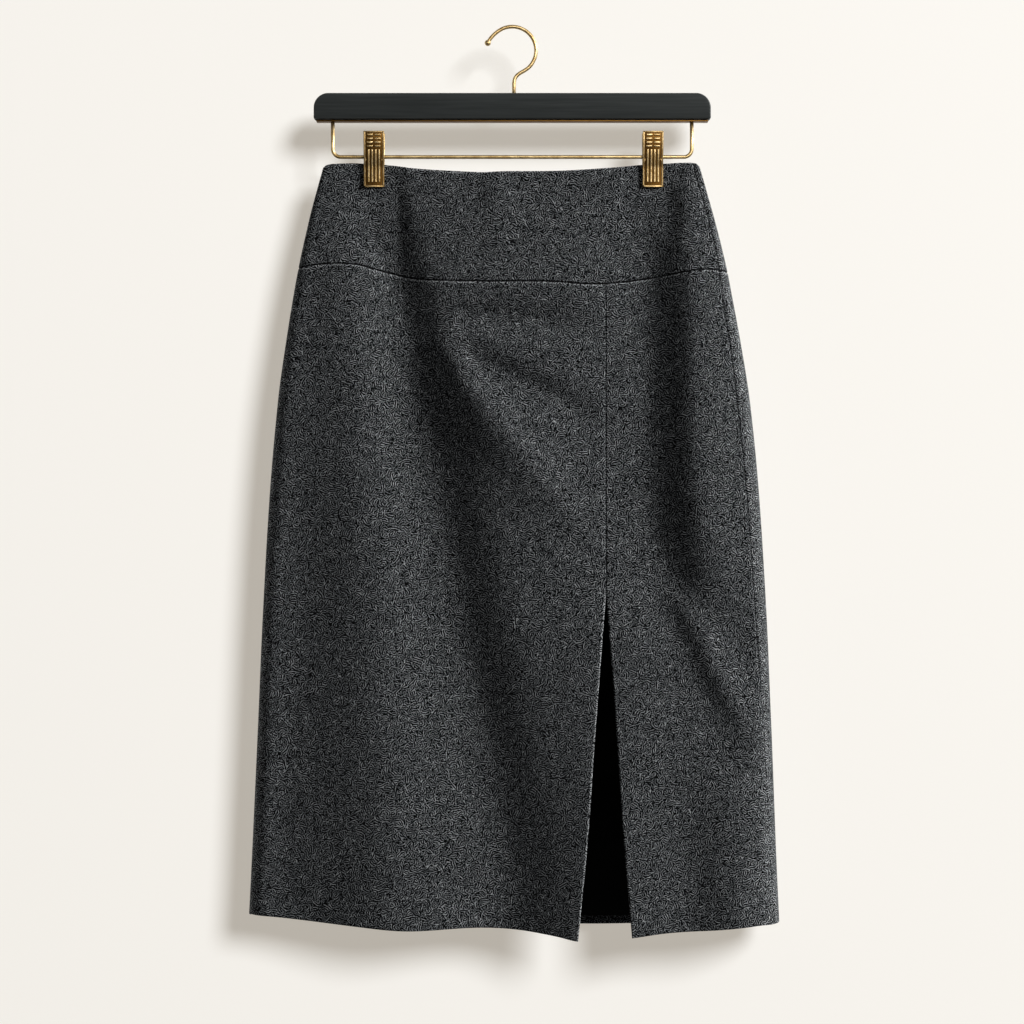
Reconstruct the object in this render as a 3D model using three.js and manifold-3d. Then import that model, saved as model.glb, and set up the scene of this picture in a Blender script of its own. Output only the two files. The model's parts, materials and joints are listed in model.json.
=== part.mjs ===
// A pencil skirt of wool tweed, hanging by two clips from a skirt hanger.
// Millimetres, +Z up. The front of the skirt faces -Y and +X is to the viewer's right.
// The origin is the inside top of the hanger's hook, where it hangs on a rail.
import * as THREE from "three";
import { mergeVertices } from "three/addons/utils/BufferGeometryUtils.js";
import Module from "manifold-3d";

const wasm = await Module();
wasm.setup();

// Driving dimensions of the cloth
const cloth = 1.6; // wall of the wool tweed
const turnedCloth = 3.0; // wall where an edge is turned in and stitched down
const seamGap = 0.3; // between two pieces that are sewn together
const pressWidth = 34; // beside a clip, over which the cloth opens out again
const pressLength = 75; // and below it
const waistZ = -129; // height of the waist's highest edge
const hemTurn = 38; // depth of the turned-up hem
const facingWidth = 30; // width of the turned-in edge beside the slit
const slitTop = 409; // below the waist
const frontSeamX = 89; // seam that runs from the yoke down to the slit
const backSeamX = 10; // centre back seam; the skirt hangs turned a little to its left
const liningInset = 3.4; // from the outside of the cloth to the lining
const liningCloth = 1.0;
const liningLift = 8; // how far the lining ends above the back hem
const zipLength = 205;
const zipTapeWidth = 26;
const zipTape = 0.8;

// Driving dimensions of the hanger
const wire = 1.65; // radius of the brass wire
const runningGap = 0.35; // between the wire and the holes it runs in
const hookRadius = 22.7; // to the middle of the wire
const bar = { width: 379, height: 25.5, depth: 14, top: -62.4, topCorner: 14, lowCorner: 2.4, round: 1.6 };
const trim = { width: 374, depth: 11, thick: 1.6 };
const rod = { z: -122.8, legX: 171.6, bend: 7.5 };
const stemX = 1.6; // the hook's stem stands a little to the right of its round part
const intoBar = 8; // how deep the stem and the rod's legs go into the bar
const clip = { left: -132, right: 134.3, width: 19.6, sheet: 1.2, gripped: 24 };
const gripped = 2.0; // half the cloth's depth, front to back, between a clip's jaws

// The hanging skirt's sections: how far below the waist, where the left and right folds are,
// half the depth from front to back, and the radius of the folds at the sides
const sections = [
  { drop: 0, left: -180.0, right: 177.4, half: 4.8, roll: 2.7 },
  { drop: 25, left: -186.7, right: 184.3, half: 7.2, roll: 3.6 },
  { drop: 54, left: -194.3, right: 191.9, half: 11.0, roll: 5.2 },
  { drop: 95, left: -203.4, right: 202.2, half: 16.5, roll: 7.5 },
  { drop: 140, left: -211.5, right: 211.0, half: 21.0, roll: 9.6 },
  { drop: 183, left: -218.2, right: 218.7, half: 24.0, roll: 11.2 },
  { drop: 226, left: -223.9, right: 225.4, half: 26.0, roll: 12.4 },
  { drop: 312, left: -231.6, right: 234.0, half: 29.0, roll: 14.0 },
  { drop: 427, left: -238.3, right: 241.2, half: 31.5, roll: 15.0 },
  { drop: 542, left: -243.3, right: 246.2, half: 33.5, roll: 15.6 },
  { drop: 656, left: -248.6, right: 250.5, half: 35.5, roll: 16.0 },
  { drop: 740, left: -252.8, right: 254.4, half: 37.0, roll: 16.2 },
];

// Edges and seams that run across the skirt, as drops below the waist
const frontWaist = [
  { x: -181, drop: 4.5 },
  { x: -171, drop: 0.6 },
  { x: -150, drop: 0 },
  { x: -118, drop: 1.9 },
  { x: -83, drop: 6.6 },
  { x: -45, drop: 9.3 },
  { x: 0, drop: 7.9 },
  { x: 45, drop: 7.4 },
  { x: 89, drop: 4.7 },
  { x: 123, drop: 1.9 },
  { x: 152, drop: 0 },
  { x: 168, drop: 1.4 },
  { x: 178, drop: 7 },
];
const backWaist = [
  { x: -181, drop: 4.5 },
  { x: -168, drop: 0.5 },
  { x: -132, drop: 0.6 },
  { x: -70, drop: 5.8 },
  { x: 10, drop: 8.4 },
  { x: 80, drop: 5.2 },
  { x: 134, drop: 0.8 },
  { x: 165, drop: 1.2 },
  { x: 178, drop: 7 },
];
const frontYoke = [
  { x: -206, drop: 100.5 },
  { x: -180, drop: 96.6 },
  { x: -151, drop: 97.4 },
  { x: -119, drop: 105.0 },
  { x: -88, drop: 111.5 },
  { x: -30, drop: 113.8 },
  { x: 35, drop: 114.0 },
  { x: 82, drop: 116.2 },
  { x: 126, drop: 111.6 },
  { x: 158, drop: 106.0 },
  { x: 184, drop: 102.6 },
  { x: 206, drop: 104.5 },
];
const backYoke = [
  { x: -206, drop: 100.5 },
  { x: -120, drop: 106 },
  { x: 10, drop: 115 },
  { x: 120, drop: 109 },
  { x: 206, drop: 104.5 },
];
const frontHem = [
  { x: -252, drop: 718 },
  { x: -235, drop: 716 },
  { x: -195, drop: 720.6 },
  { x: -150, drop: 725.3 },
  { x: -99, drop: 729.1 },
  { x: -37, drop: 727.2 },
  { x: 5, drop: 729 },
  { x: 42, drop: 733.8 },
  { x: 62, drop: 737.6 },
  { x: 88, drop: 736.6 },
  { x: 113, drop: 734.7 },
  { x: 144, drop: 731.0 },
  { x: 189, drop: 728.1 },
  { x: 234, drop: 724.4 },
  { x: 254, drop: 725 },
];
const backHem = [
  { x: -252, drop: 718 },
  { x: -150, drop: 727 },
  { x: 0, drop: 731 },
  { x: 150, drop: 730 },
  { x: 254, drop: 725 },
];

// The open slit's two edges
const slit = [
  { drop: 409, left: 89, right: 89 },
  { drop: 448, left: 85.7, right: 91.4 },
  { drop: 499, left: 81.8, right: 95.6 },
  { drop: 557, left: 77.3, right: 99.3 },
  { drop: 640, left: 71.4, right: 104.8 },
  { drop: 740, left: 61.8, right: 113.2 },
];

// The side seams: the right one lies in front of its fold, the left one behind
const sideSeams = [
  { drop: 0, right: 8.0, left: 7 },
  { drop: 80, right: 11.5, left: 11 },
  { drop: 130, right: 16.5, left: 13 },
  { drop: 190, right: 19.5, left: 15 },
  { drop: 230, right: 21.5, left: 17 },
  { drop: 370, right: 22.0, left: 18 },
  { drop: 430, right: 21.0, left: 18 },
  { drop: 550, right: 17.7, left: 16 },
  { drop: 740, right: 15.0, left: 14 },
];

// The largest folds. Each runs down the cloth: its middle, how far it pushes the cloth
// out (or in, below zero) and its width, at drops below the waist
const frontFolds = [
  // trough that runs in from the left clip, then down the middle of the wide panel
  [
    { drop: 8, x: -124, push: 0, width: 14 },
    { drop: 30, x: -126, push: -2, width: 14 },
    { drop: 75, x: -117, push: -6, width: 17 },
    { drop: 113, x: -102, push: -8, width: 20 },
    { drop: 177, x: -88, push: -9, width: 22 },
    { drop: 253, x: -75, push: -9, width: 23 },
    { drop: 328, x: -62, push: -8, width: 23 },
    { drop: 416, x: -50, push: -6, width: 24 },
    { drop: 480, x: -36, push: -4.5, width: 27 },
    { drop: 560, x: -14, push: -4.5, width: 35 },
    { drop: 640, x: -4, push: -5, width: 42 },
    { drop: 745, x: 0, push: -6, width: 48 },
  ],
  // broad ridge to the left of that trough
  [
    { drop: 40, x: -162, push: 0, width: 22 },
    { drop: 120, x: -158, push: 2, width: 28 },
    { drop: 250, x: -148, push: 3.5, width: 32 },
    { drop: 400, x: -133, push: 5, width: 36 },
    { drop: 560, x: -112, push: 6, width: 42 },
    { drop: 745, x: -98, push: 6, width: 48 },
  ],
  // ridge that crosses the belly down to the right
  [
    { drop: 145, x: -78, push: 0, width: 20 },
    { drop: 177, x: -60, push: 2, width: 24 },
    { drop: 221, x: -25, push: 3.5, width: 26 },
    { drop: 258, x: 12, push: 3.5, width: 28 },
    { drop: 315, x: 52, push: 2, width: 30 },
    { drop: 370, x: 80, push: 0, width: 30 },
  ],
  // hollow above that ridge
  [
    { drop: 160, x: -40, push: 0, width: 20 },
    { drop: 183, x: -18, push: -1.5, width: 22 },
    { drop: 205, x: 30, push: -2, width: 26 },
    { drop: 225, x: 85, push: -1.5, width: 26 },
    { drop: 245, x: 120, push: 0, width: 26 },
  ],
  // hollow below the yoke seam
  [
    { drop: 114, x: 10, push: 0, width: 60 },
    { drop: 133, x: 10, push: -1.8, width: 55 },
    { drop: 162, x: 10, push: 0, width: 60 },
  ],
  // trough below the right clip
  [
    { drop: 10, x: 136, push: 0, width: 11 },
    { drop: 35, x: 134, push: -1.5, width: 12 },
    { drop: 100, x: 144, push: -5, width: 15 },
    { drop: 196, x: 141, push: -7, width: 16 },
    { drop: 290, x: 143, push: -7, width: 17 },
    { drop: 353, x: 148, push: -6, width: 18 },
    { drop: 400, x: 164, push: -4, width: 20 },
    { drop: 450, x: 195, push: 0, width: 22 },
  ],
  // short ridge and trough that slant off to the right below it
  [
    { drop: 400, x: 138, push: 0, width: 18 },
    { drop: 430, x: 155, push: 2.5, width: 18 },
    { drop: 485, x: 196, push: 2.5, width: 20 },
    { drop: 525, x: 215, push: 0, width: 20 },
  ],
  [
    { drop: 430, x: 142, push: 0, width: 18 },
    { drop: 460, x: 157, push: -2.5, width: 19 },
    { drop: 504, x: 176, push: -4, width: 20 },
    { drop: 548, x: 203, push: -3, width: 22 },
    { drop: 605, x: 224, push: 0, width: 22 },
  ],
  // lips of the slit, which stand forward
  [
    { drop: 400, x: 89, push: 0, width: 32 },
    { drop: 480, x: 89, push: 3, width: 34 },
    { drop: 600, x: 88, push: 6, width: 38 },
    { drop: 745, x: 88, push: 9, width: 42 },
  ],
];
const backFolds = [
  // trough below the left clip
  [
    { drop: 8, x: -130, push: 0, width: 13 },
    { drop: 40, x: -125, push: -2.5, width: 15 },
    { drop: 110, x: -112, push: -6.5, width: 20 },
    { drop: 220, x: -98, push: -7.5, width: 24 },
    { drop: 360, x: -82, push: -5.5, width: 28 },
    { drop: 520, x: -64, push: -2.5, width: 32 },
    { drop: 640, x: -50, push: 0, width: 36 },
  ],
  // trough below the right clip
  [
    { drop: 8, x: 134, push: 0, width: 12 },
    { drop: 40, x: 138, push: -2.5, width: 14 },
    { drop: 120, x: 132, push: -6, width: 18 },
    { drop: 240, x: 121, push: -7, width: 22 },
    { drop: 380, x: 112, push: -5, width: 26 },
    { drop: 560, x: 100, push: -2, width: 30 },
    { drop: 680, x: 92, push: 0, width: 34 },
  ],
  // two soft ridges and a hollow that reach the hem
  [
    { drop: 300, x: -30, push: 0, width: 40 },
    { drop: 500, x: -20, push: 4, width: 48 },
    { drop: 745, x: -12, push: 5, width: 54 },
  ],
  [
    { drop: 420, x: 152, push: 0, width: 30 },
    { drop: 600, x: 152, push: 3, width: 36 },
    { drop: 745, x: 154, push: 4.5, width: 40 },
  ],
  [
    { drop: 480, x: 62, push: 0, width: 34 },
    { drop: 620, x: 64, push: -3, width: 38 },
    { drop: 745, x: 68, push: -4, width: 42 },
  ],
];

const tweedFinish = { color: 0x34373a, roughness: 0.95, metalness: 0 };
const liningFinish = { color: 0x0b0b0c, roughness: 0.5, metalness: 0 };
const woodFinish = { color: 0x2b2d2d, roughness: 0.5, metalness: 0 };
const brassFinish = { color: 0xa8874a, roughness: 0.3, metalness: 1 };
const springFinish = { color: 0x8a7a55, roughness: 0.35, metalness: 1 };
const enamelFinish = { color: 0x1b1c1e, roughness: 0.35, metalness: 0.3 };
const tapeFinish = { color: 0x16171a, roughness: 0.9, metalness: 0 };

const skirt = new THREE.Group();

function addNode(name, geometry, finish, parent = skirt) {
  const mesh = new THREE.Mesh(geometry, new THREE.MeshStandardMaterial(finish));
  mesh.name = name;
  parent.add(mesh);
  return mesh;
}

// A smooth curve through the rows of a table, read at one value of its key column
function readTable(rows, key, column, at) {
  const last = rows.length - 1;
  if (at <= rows[0][key]) return rows[0][column];
  if (at >= rows[last][key]) return rows[last][column];
  let i = 0;
  while (rows[i + 1][key] < at) i++;
  const slope = (a, b) => (rows[b][column] - rows[a][column]) / (rows[b][key] - rows[a][key]);
  const width = rows[i + 1][key] - rows[i][key];
  const t = (at - rows[i][key]) / width;
  const startSlope = slope(Math.max(i - 1, 0), i + 1) * width;
  const endSlope = slope(i, Math.min(i + 2, last)) * width;
  const rise = rows[i + 1][column] - rows[i][column];
  return (
    rows[i][column] +
    startSlope * (t - 2 * t ** 2 + t ** 3) +
    rise * (3 * t ** 2 - 2 * t ** 3) +
    endSlope * (t ** 3 - t ** 2)
  );
}

const smoothStep = (low, high, at) => THREE.MathUtils.smoothstep(at, low, high);

// One section of the skirt, with the places that the ring is measured from
function sectionAt(drop) {
  const read = (column) => readTable(sections, "drop", column, drop);
  const left = read("left");
  const right = read("right");
  const roll = read("roll");
  return {
    middle: (left + right) / 2,
    reach: (right - left) / 2 - roll, // half the stretch between the two rounded folds
    half: read("half"),
    roll,
    quarter: (roll * Math.PI) / 2, // round a fold, from its outermost point to the flatter cloth
  };
}

function foldPush(folds, x, drop) {
  let push = 0;
  for (const fold of folds) {
    if (drop <= fold[0].drop || drop >= fold[fold.length - 1].drop) continue;
    const away = (x - readTable(fold, "drop", "x", drop)) / readTable(fold, "drop", "width", drop);
    push += readTable(fold, "drop", "push", drop) * Math.exp(-away * away);
  }
  return push;
}

// How far the clips press the front and back together, from 0 to 1
function pinch(x, drop) {
  const down = 1 - smoothStep(clip.gripped, clip.gripped + pressLength, drop);
  const half = clip.width / 2 + 1;
  const across = (clipX) => 1 - smoothStep(half, half + pressWidth, Math.abs(x - clipX));
  return down * Math.max(across(clip.left), across(clip.right));
}

// A point of the cloth. place runs round the ring: 0 is the left fold, 1 to 3 the front,
// 4 the right fold, 5 to 7 the back and 8 the left fold again; inset is the depth below
// the outside of the cloth
function clothPoint(place, drop, inset = 0) {
  const s = sectionAt(drop);
  const round = ((place % 8) + 8) % 8;
  const onFront = round <= 4;
  const fromLeft = onFront ? round : 8 - round; // 0 to 4, from the left fold to the right one
  const side = fromLeft < 2 ? -1 : 1;
  const fromFold = Math.min(fromLeft, 4 - fromLeft);
  const face = onFront ? -1 : 1;
  let x;
  let out;
  if (fromFold < 1) {
    const angle = (fromFold * Math.PI) / 2;
    x = s.middle + side * (s.reach + (s.roll - inset) * Math.cos(angle));
    out = s.roll * Math.sin(angle);
    inset *= Math.sin(angle);
  } else {
    x = s.middle + side * s.reach * (2 - fromFold);
    out = s.roll + (s.half - s.roll) * (1 - (2 - fromFold) ** 2) ** 1.5;
  }
  const hold = fromFold < 1 ? Math.sin((fromFold * Math.PI) / 2) ** 2 : 1;
  out += hold * foldPush(onFront ? frontFolds : backFolds, x, drop);
  out = THREE.MathUtils.lerp(out, gripped, hold * pinch(x, drop));
  if (fromFold >= 1) out = Math.max(out, gripped);
  return new THREE.Vector3(x, face * (out - inset), waistZ - drop);
}

// Places on the ring of what is given in millimetres
const frontPlace = (x, drop) => {
  const s = sectionAt(drop);
  return 2 + (x - s.middle) / s.reach;
};
const backPlace = (x, drop) => {
  const s = sectionAt(drop);
  return 6 - (x - s.middle) / s.reach;
};
function fromFoldPlace(length, drop) {
  const s = sectionAt(drop);
  return length < s.quarter ? length / s.quarter : 1 + (length - s.quarter) / s.reach;
}
const halfGap = seamGap / 2;
const seamLength = (side, drop) => readTable(sideSeams, "drop", side, drop);
const rightSeam = (shift) => (drop) => 4 - fromFoldPlace(seamLength("right", drop) - shift, drop);
const leftSeam = (shift) => (drop) => -fromFoldPlace(seamLength("left", drop) - shift, drop);
const backSeam = (shift) => (drop) => backPlace(backSeamX + shift, drop);
function slitEdge(side, shift) {
  return (drop) => {
    const x = drop <= slitTop ? frontSeamX : readTable(slit, "drop", side, drop);
    return frontPlace(x + shift, drop);
  };
}

// The drop of an edge that runs across the skirt, at a place on the ring
function edgeDrop(front, back, nominal, lower = 0) {
  return (place) => {
    const round = ((place % 8) + 8) % 8;
    const rows = round <= 4 ? front : back;
    return readTable(rows, "x", "drop", clothPoint(place, nominal).x) + lower;
  };
}
const waistEdge = edgeDrop(frontWaist, backWaist, 6);
const yokeBottom = edgeDrop(frontYoke, backYoke, 108, -halfGap);
const panelTop = edgeDrop(frontYoke, backYoke, 108, halfGap);
const hemEdge = edgeDrop(frontHem, backHem, 728);

// Columns of a panel: its start, and runs of even steps that end at places on the ring
function columnPlaces(start, runs, drop) {
  const places = [start(drop)];
  for (const run of runs) {
    const from = places[places.length - 1];
    const to = run.to(drop);
    for (let i = 1; i <= run.steps; i++) places.push(from + ((to - from) * i) / run.steps);
  }
  return places;
}

// Rows of a panel as drops for one column: bands of even steps that end at edges
function rowDrops(top, bands, place) {
  const drops = [top(place)];
  for (const band of bands) {
    const from = drops[drops.length - 1];
    const to = band.to(place);
    for (let i = 1; i <= band.steps; i++) drops.push(from + ((to - from) * i) / band.steps);
  }
  return drops;
}

// A closed wall of cloth between an outer and an inner grid of points
function wallGeometry(outer, inner) {
  const columns = outer.length;
  const rows = outer[0].length;
  const points = [];
  for (const grid of [outer, inner]) for (const column of grid) points.push(...column);
  const at = (layer, i, j) => layer * columns * rows + i * rows + j;
  const index = [];
  const quad = (a, b, c, d) => index.push(a, b, c, a, c, d);
  for (let i = 0; i < columns - 1; i++)
    for (let j = 0; j < rows - 1; j++) {
      quad(at(0, i, j), at(0, i, j + 1), at(0, i + 1, j + 1), at(0, i + 1, j));
      quad(at(1, i, j), at(1, i + 1, j), at(1, i + 1, j + 1), at(1, i, j + 1));
    }
  for (let i = 0; i < columns - 1; i++) {
    quad(at(0, i, 0), at(0, i + 1, 0), at(1, i + 1, 0), at(1, i, 0));
    const j = rows - 1;
    quad(at(0, i + 1, j), at(0, i, j), at(1, i, j), at(1, i + 1, j));
  }
  for (let j = 0; j < rows - 1; j++) {
    quad(at(0, 0, j + 1), at(0, 0, j), at(1, 0, j), at(1, 0, j + 1));
    const i = columns - 1;
    quad(at(0, i, j), at(0, i, j + 1), at(1, i, j + 1), at(1, i, j));
  }
  const geometry = new THREE.BufferGeometry().setFromPoints(points);
  geometry.setIndex(index);
  geometry.computeVertexNormals();
  return geometry;
}

// A panel of cloth: columns round the ring, rows down it, and its depth below the outside
function panelGeometry({ start, runs, top, bands, outside = () => 0, inside }) {
  const levels = rowDrops(top, bands, start(slitTop)).length;
  const outer = [];
  const inner = [];
  const nominal = columnPlaces(start, runs, slitTop);
  for (let i = 0; i < nominal.length; i++) {
    const outerColumn = [];
    const innerColumn = [];
    for (let j = 0; j < levels; j++) {
      // the row's drop depends on the column's place, and that place on the drop
      let place = nominal[i];
      let drop = 0;
      for (let settle = 0; settle < 4; settle++) {
        drop = rowDrops(top, bands, place)[j];
        place = columnPlaces(start, runs, drop)[i];
      }
      outerColumn.push(clothPoint(place, drop, outside(i, j, drop)));
      innerColumn.push(clothPoint(place, drop, inside(i, j, drop)));
    }
    outer.push(outerColumn);
    inner.push(innerColumn);
  }
  return wallGeometry(outer, inner);
}

const atFold = (place) => () => place;
const lowerBands = [
  { to: () => slitTop, steps: 9 },
  { to: (place) => hemEdge(place) - hemTurn - 1, steps: 9 },
  { to: (place) => hemEdge(place) - hemTurn, steps: 1 },
  { to: hemEdge, steps: 1 },
];
const hemRow = 19; // the first row of the turned-up hem
const yokeBands = [{ to: yokeBottom, steps: 5 }];

// Columns of the front, from its left seam to its right one, with a step beside the slit
// where the turned-in edge begins
const besideSlit = (side, width) => slitEdge(side, side === "left" ? -width : width);
const frontStart = leftSeam(halfGap);
const frontLeftRuns = (end) => [
  { to: atFold(0), steps: 4 },
  { to: atFold(1), steps: 3 },
  { to: besideSlit("left", facingWidth + 1), steps: 19 },
  { to: besideSlit("left", facingWidth), steps: 1 },
  { to: end, steps: 2 },
];
const frontRightRuns = [
  { to: besideSlit("right", facingWidth), steps: 2 },
  { to: besideSlit("right", facingWidth + 1), steps: 1 },
  { to: rightSeam(-halfGap), steps: 9 },
];
const leftFacingColumn = 27;
const rightFacingColumn = 2;

// Columns of the back, from its right seam to its left one
const backStart = rightSeam(halfGap);
const backRightRuns = [
  { to: atFold(4), steps: 3 },
  { to: atFold(5), steps: 3 },
  { to: backSeam(halfGap), steps: 11 },
];
const backLeftRuns = [{ to: (drop) => 8 + leftSeam(-halfGap)(drop), steps: 14 }];

function addYokes() {
  const yoke = (start, runs) =>
    panelGeometry({ start, runs, top: waistEdge, bands: yokeBands, inside: () => cloth });
  const frontRuns = [...frontLeftRuns(slitEdge("left", 0)), ...frontRightRuns];
  addNode("yoke_front", yoke(frontStart, frontRuns), tweedFinish);
  addNode("back_yoke_right", yoke(backStart, backRightRuns), tweedFinish);
  addNode("back_yoke_left", yoke(backSeam(-halfGap), backLeftRuns), tweedFinish);
}

function addPanels() {
  const panel = (start, runs, isFacing) =>
    panelGeometry({
      start,
      runs,
      top: panelTop,
      bands: lowerBands,
      inside: (i, j, drop) => {
        const turned = j >= hemRow || (isFacing(i) && drop > slitTop + 1);
        return turned ? turnedCloth : cloth;
      },
    });
  const plain = () => false;
  const leftRuns = frontLeftRuns(slitEdge("left", -halfGap));
  const frontLeft = panel(frontStart, leftRuns, (i) => i >= leftFacingColumn);
  const rightStart = slitEdge("right", halfGap);
  const frontRight = panel(rightStart, frontRightRuns, (i) => i <= rightFacingColumn);
  addNode("front_panel_left", frontLeft, tweedFinish);
  addNode("front_panel_right", frontRight, tweedFinish);
  addNode("back_panel_right", panel(backStart, backRightRuns, plain), tweedFinish);
  addNode("back_panel_left", panel(backSeam(-halfGap), backLeftRuns, plain), tweedFinish);
}

// The lining hangs inside the back, from fold to fold, in the back panels' own columns
function addLining() {
  addNode(
    "lining_back",
    panelGeometry({
      start: atFold(4),
      runs: [
        { to: atFold(5), steps: 3 },
        { to: backSeam(0), steps: 11 },
        ...backLeftRuns,
        { to: atFold(8), steps: 3 },
      ],
      top: (place) => panelTop(place) + 3,
      bands: [
        { to: () => slitTop, steps: 9 },
        { to: (place) => hemEdge(place) - hemTurn - 1, steps: 6 },
        { to: (place) => hemEdge(place) - liningLift, steps: 1 },
      ],
      outside: () => liningInset,
      inside: () => liningInset + liningCloth,
    }),
    liningFinish,
  );
}

// The zip behind the centre back seam: its tape, and the slider with its hinged pull tab
const slider = {
  drop: 20, // of the pull's hinge, below the waist
  width: 5.2,
  tall: 8.2,
  lift: 0.35, // off the cloth
  plate: 1.1,
  below: 3.2,
  lowCorner: 1.2,
  topCorner: 2.4,
};
const bail = { width: 1.2, leg: 1.0, low: -2.1, high: 3.5, opening: 1.75, thick: 0.8 };
const pull = { pivotOut: 2.3, pivotUp: -0.3, lean: 3, thick: 0.8, length: 23 };
const pullTab = { shoulder: 2.1, neck: 1.6, neckAt: 6, end: 2.7, crossbar: 0.5 };
const pullEye = { width: 2.0, length: 4.6 };

function addZip() {
  addNode(
    "zip_tape",
    panelGeometry({
      start: backSeam(zipTapeWidth / 2),
      runs: [{ to: backSeam(-zipTapeWidth / 2), steps: 2 }],
      top: (place) => waistEdge(place) + 3,
      bands: [{ to: () => zipLength, steps: 8 }],
      outside: () => cloth + seamGap,
      inside: () => cloth + seamGap + zipTape,
    }),
    tapeFinish,
  );
  const seatAt = (drop) => clothPoint(backPlace(backSeamX, drop), drop);
  const seat = seatAt(slider.drop);
  const below = seatAt(slider.drop + pull.length);
  const frame = new THREE.Group();
  frame.position.copy(seat);
  frame.rotation.x = Math.atan2(below.y - seat.y, seat.z - below.z);
  skirt.add(frame);
  addNode("zip_slider", sliderGeometry(), enamelFinish, frame);
  const pivot = new THREE.Group();
  pivot.position.set(0, pull.pivotOut, pull.pivotUp);
  pivot.rotation.x = THREE.MathUtils.degToRad(-pull.lean);
  frame.add(pivot);
  addNode("zip_pull", pullGeometry(), enamelFinish, pivot);
}

// Solids from closed meshes, for joins and cuts
function toSolid(geometry) {
  const bare = geometry.index ? geometry.toNonIndexed() : geometry.clone();
  bare.deleteAttribute("normal");
  bare.deleteAttribute("uv");
  const merged = mergeVertices(bare, 1e-4);
  return new wasm.Manifold(
    new wasm.Mesh({
      numProp: 3,
      vertProperties: new Float32Array(merged.attributes.position.array),
      triVerts: new Uint32Array(merged.index.array),
    }),
  );
}

function toGeometry(solid) {
  const mesh = solid.getMesh();
  const geometry = new THREE.BufferGeometry();
  geometry.setAttribute("position", new THREE.BufferAttribute(mesh.vertProperties, 3));
  geometry.setIndex(new THREE.BufferAttribute(mesh.triVerts, 1));
  geometry.computeVertexNormals();
  return geometry;
}

function boxBetween(low, high) {
  const geometry = new THREE.BoxGeometry(high[0] - low[0], high[1] - low[1], high[2] - low[2]);
  return geometry.translate(
    (low[0] + high[0]) / 2,
    (low[1] + high[1]) / 2,
    (low[2] + high[2]) / 2,
  );
}

// An outline in X and Z, made solid between two values of Y
function extrudeAlongY(shape, lowY, highY, options = {}) {
  const depth = highY - lowY;
  const geometry = new THREE.ExtrudeGeometry(shape, { depth, bevelEnabled: false, ...options });
  return geometry.rotateX(Math.PI / 2).translate(0, highY, 0);
}

// An outline in Y and Z, made solid between two values of X
function extrudeAlongX(shape, lowX, highX, options = {}) {
  const depth = highX - lowX;
  const geometry = new THREE.ExtrudeGeometry(shape, { depth, bevelEnabled: false, ...options });
  return geometry.rotateX(Math.PI / 2).rotateZ(Math.PI / 2).translate(lowX, 0, 0);
}

function roundedRectangle(left, low, right, high, lowCorner, topCorner = lowCorner) {
  const shape = new THREE.Shape();
  shape.moveTo(left + lowCorner, low);
  shape.lineTo(right - lowCorner, low);
  shape.absarc(right - lowCorner, low + lowCorner, lowCorner, -Math.PI / 2, 0);
  shape.lineTo(right, high - topCorner);
  shape.absarc(right - topCorner, high - topCorner, topCorner, 0, Math.PI / 2);
  shape.lineTo(left + topCorner, high);
  shape.absarc(left + topCorner, high - topCorner, topCorner, Math.PI / 2, Math.PI);
  shape.lineTo(left, low + lowCorner);
  shape.absarc(left + lowCorner, low + lowCorner, lowCorner, Math.PI, 1.5 * Math.PI);
  return shape;
}

function sliderGeometry() {
  const halfWidth = slider.width / 2;
  const top = slider.tall - slider.below;
  const face = slider.lift + slider.plate;
  const { lowCorner, topCorner } = slider;
  const shape = roundedRectangle(-halfWidth, -slider.below, halfWidth, top, lowCorner, topCorner);
  let solid = toSolid(extrudeAlongY(shape, slider.lift, face, { curveSegments: 4 }));
  const halfBail = bail.width / 2;
  const under = face + bail.opening;
  const legs = [
    [bail.low, bail.low + bail.leg],
    [bail.high - bail.leg, bail.high],
  ];
  for (const [low, high] of legs)
    solid = solid.add(toSolid(boxBetween([-halfBail, face - 0.2, low], [halfBail, under + 0.2, high])));
  const bridge = boxBetween([-halfBail, under, bail.low], [halfBail, under + bail.thick, bail.high]);
  return toGeometry(solid.add(toSolid(bridge)));
}

// A teardrop tab with an eye for the bail; its crossbar turns about the X axis
function pullGeometry() {
  const { shoulder, neck, neckAt, end, crossbar } = pullTab;
  const roundAt = end - pull.length; // middle of the tab's round end
  const shape = new THREE.Shape();
  shape.moveTo(-shoulder, 0);
  shape.lineTo(-shoulder, -neckAt);
  shape.bezierCurveTo(-neck, -1.5 * neckAt, -end, roundAt + neckAt, -end, roundAt);
  shape.absarc(0, roundAt, end, Math.PI, 2 * Math.PI);
  shape.bezierCurveTo(end, roundAt + neckAt, neck, -1.5 * neckAt, shoulder, -neckAt);
  shape.lineTo(shoulder, 0);
  const tab = extrudeAlongY(shape, -pull.thick / 2, pull.thick / 2, { curveSegments: 6 });
  const eye = boxBetween([-pullEye.width / 2, -1, -pullEye.length], [pullEye.width / 2, 1, 1]);
  const bar = new THREE.CylinderGeometry(crossbar, crossbar, 2 * shoulder, 10).rotateZ(Math.PI / 2);
  return toGeometry(toSolid(tab).subtract(toSolid(eye)).add(toSolid(bar)));
}

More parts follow.
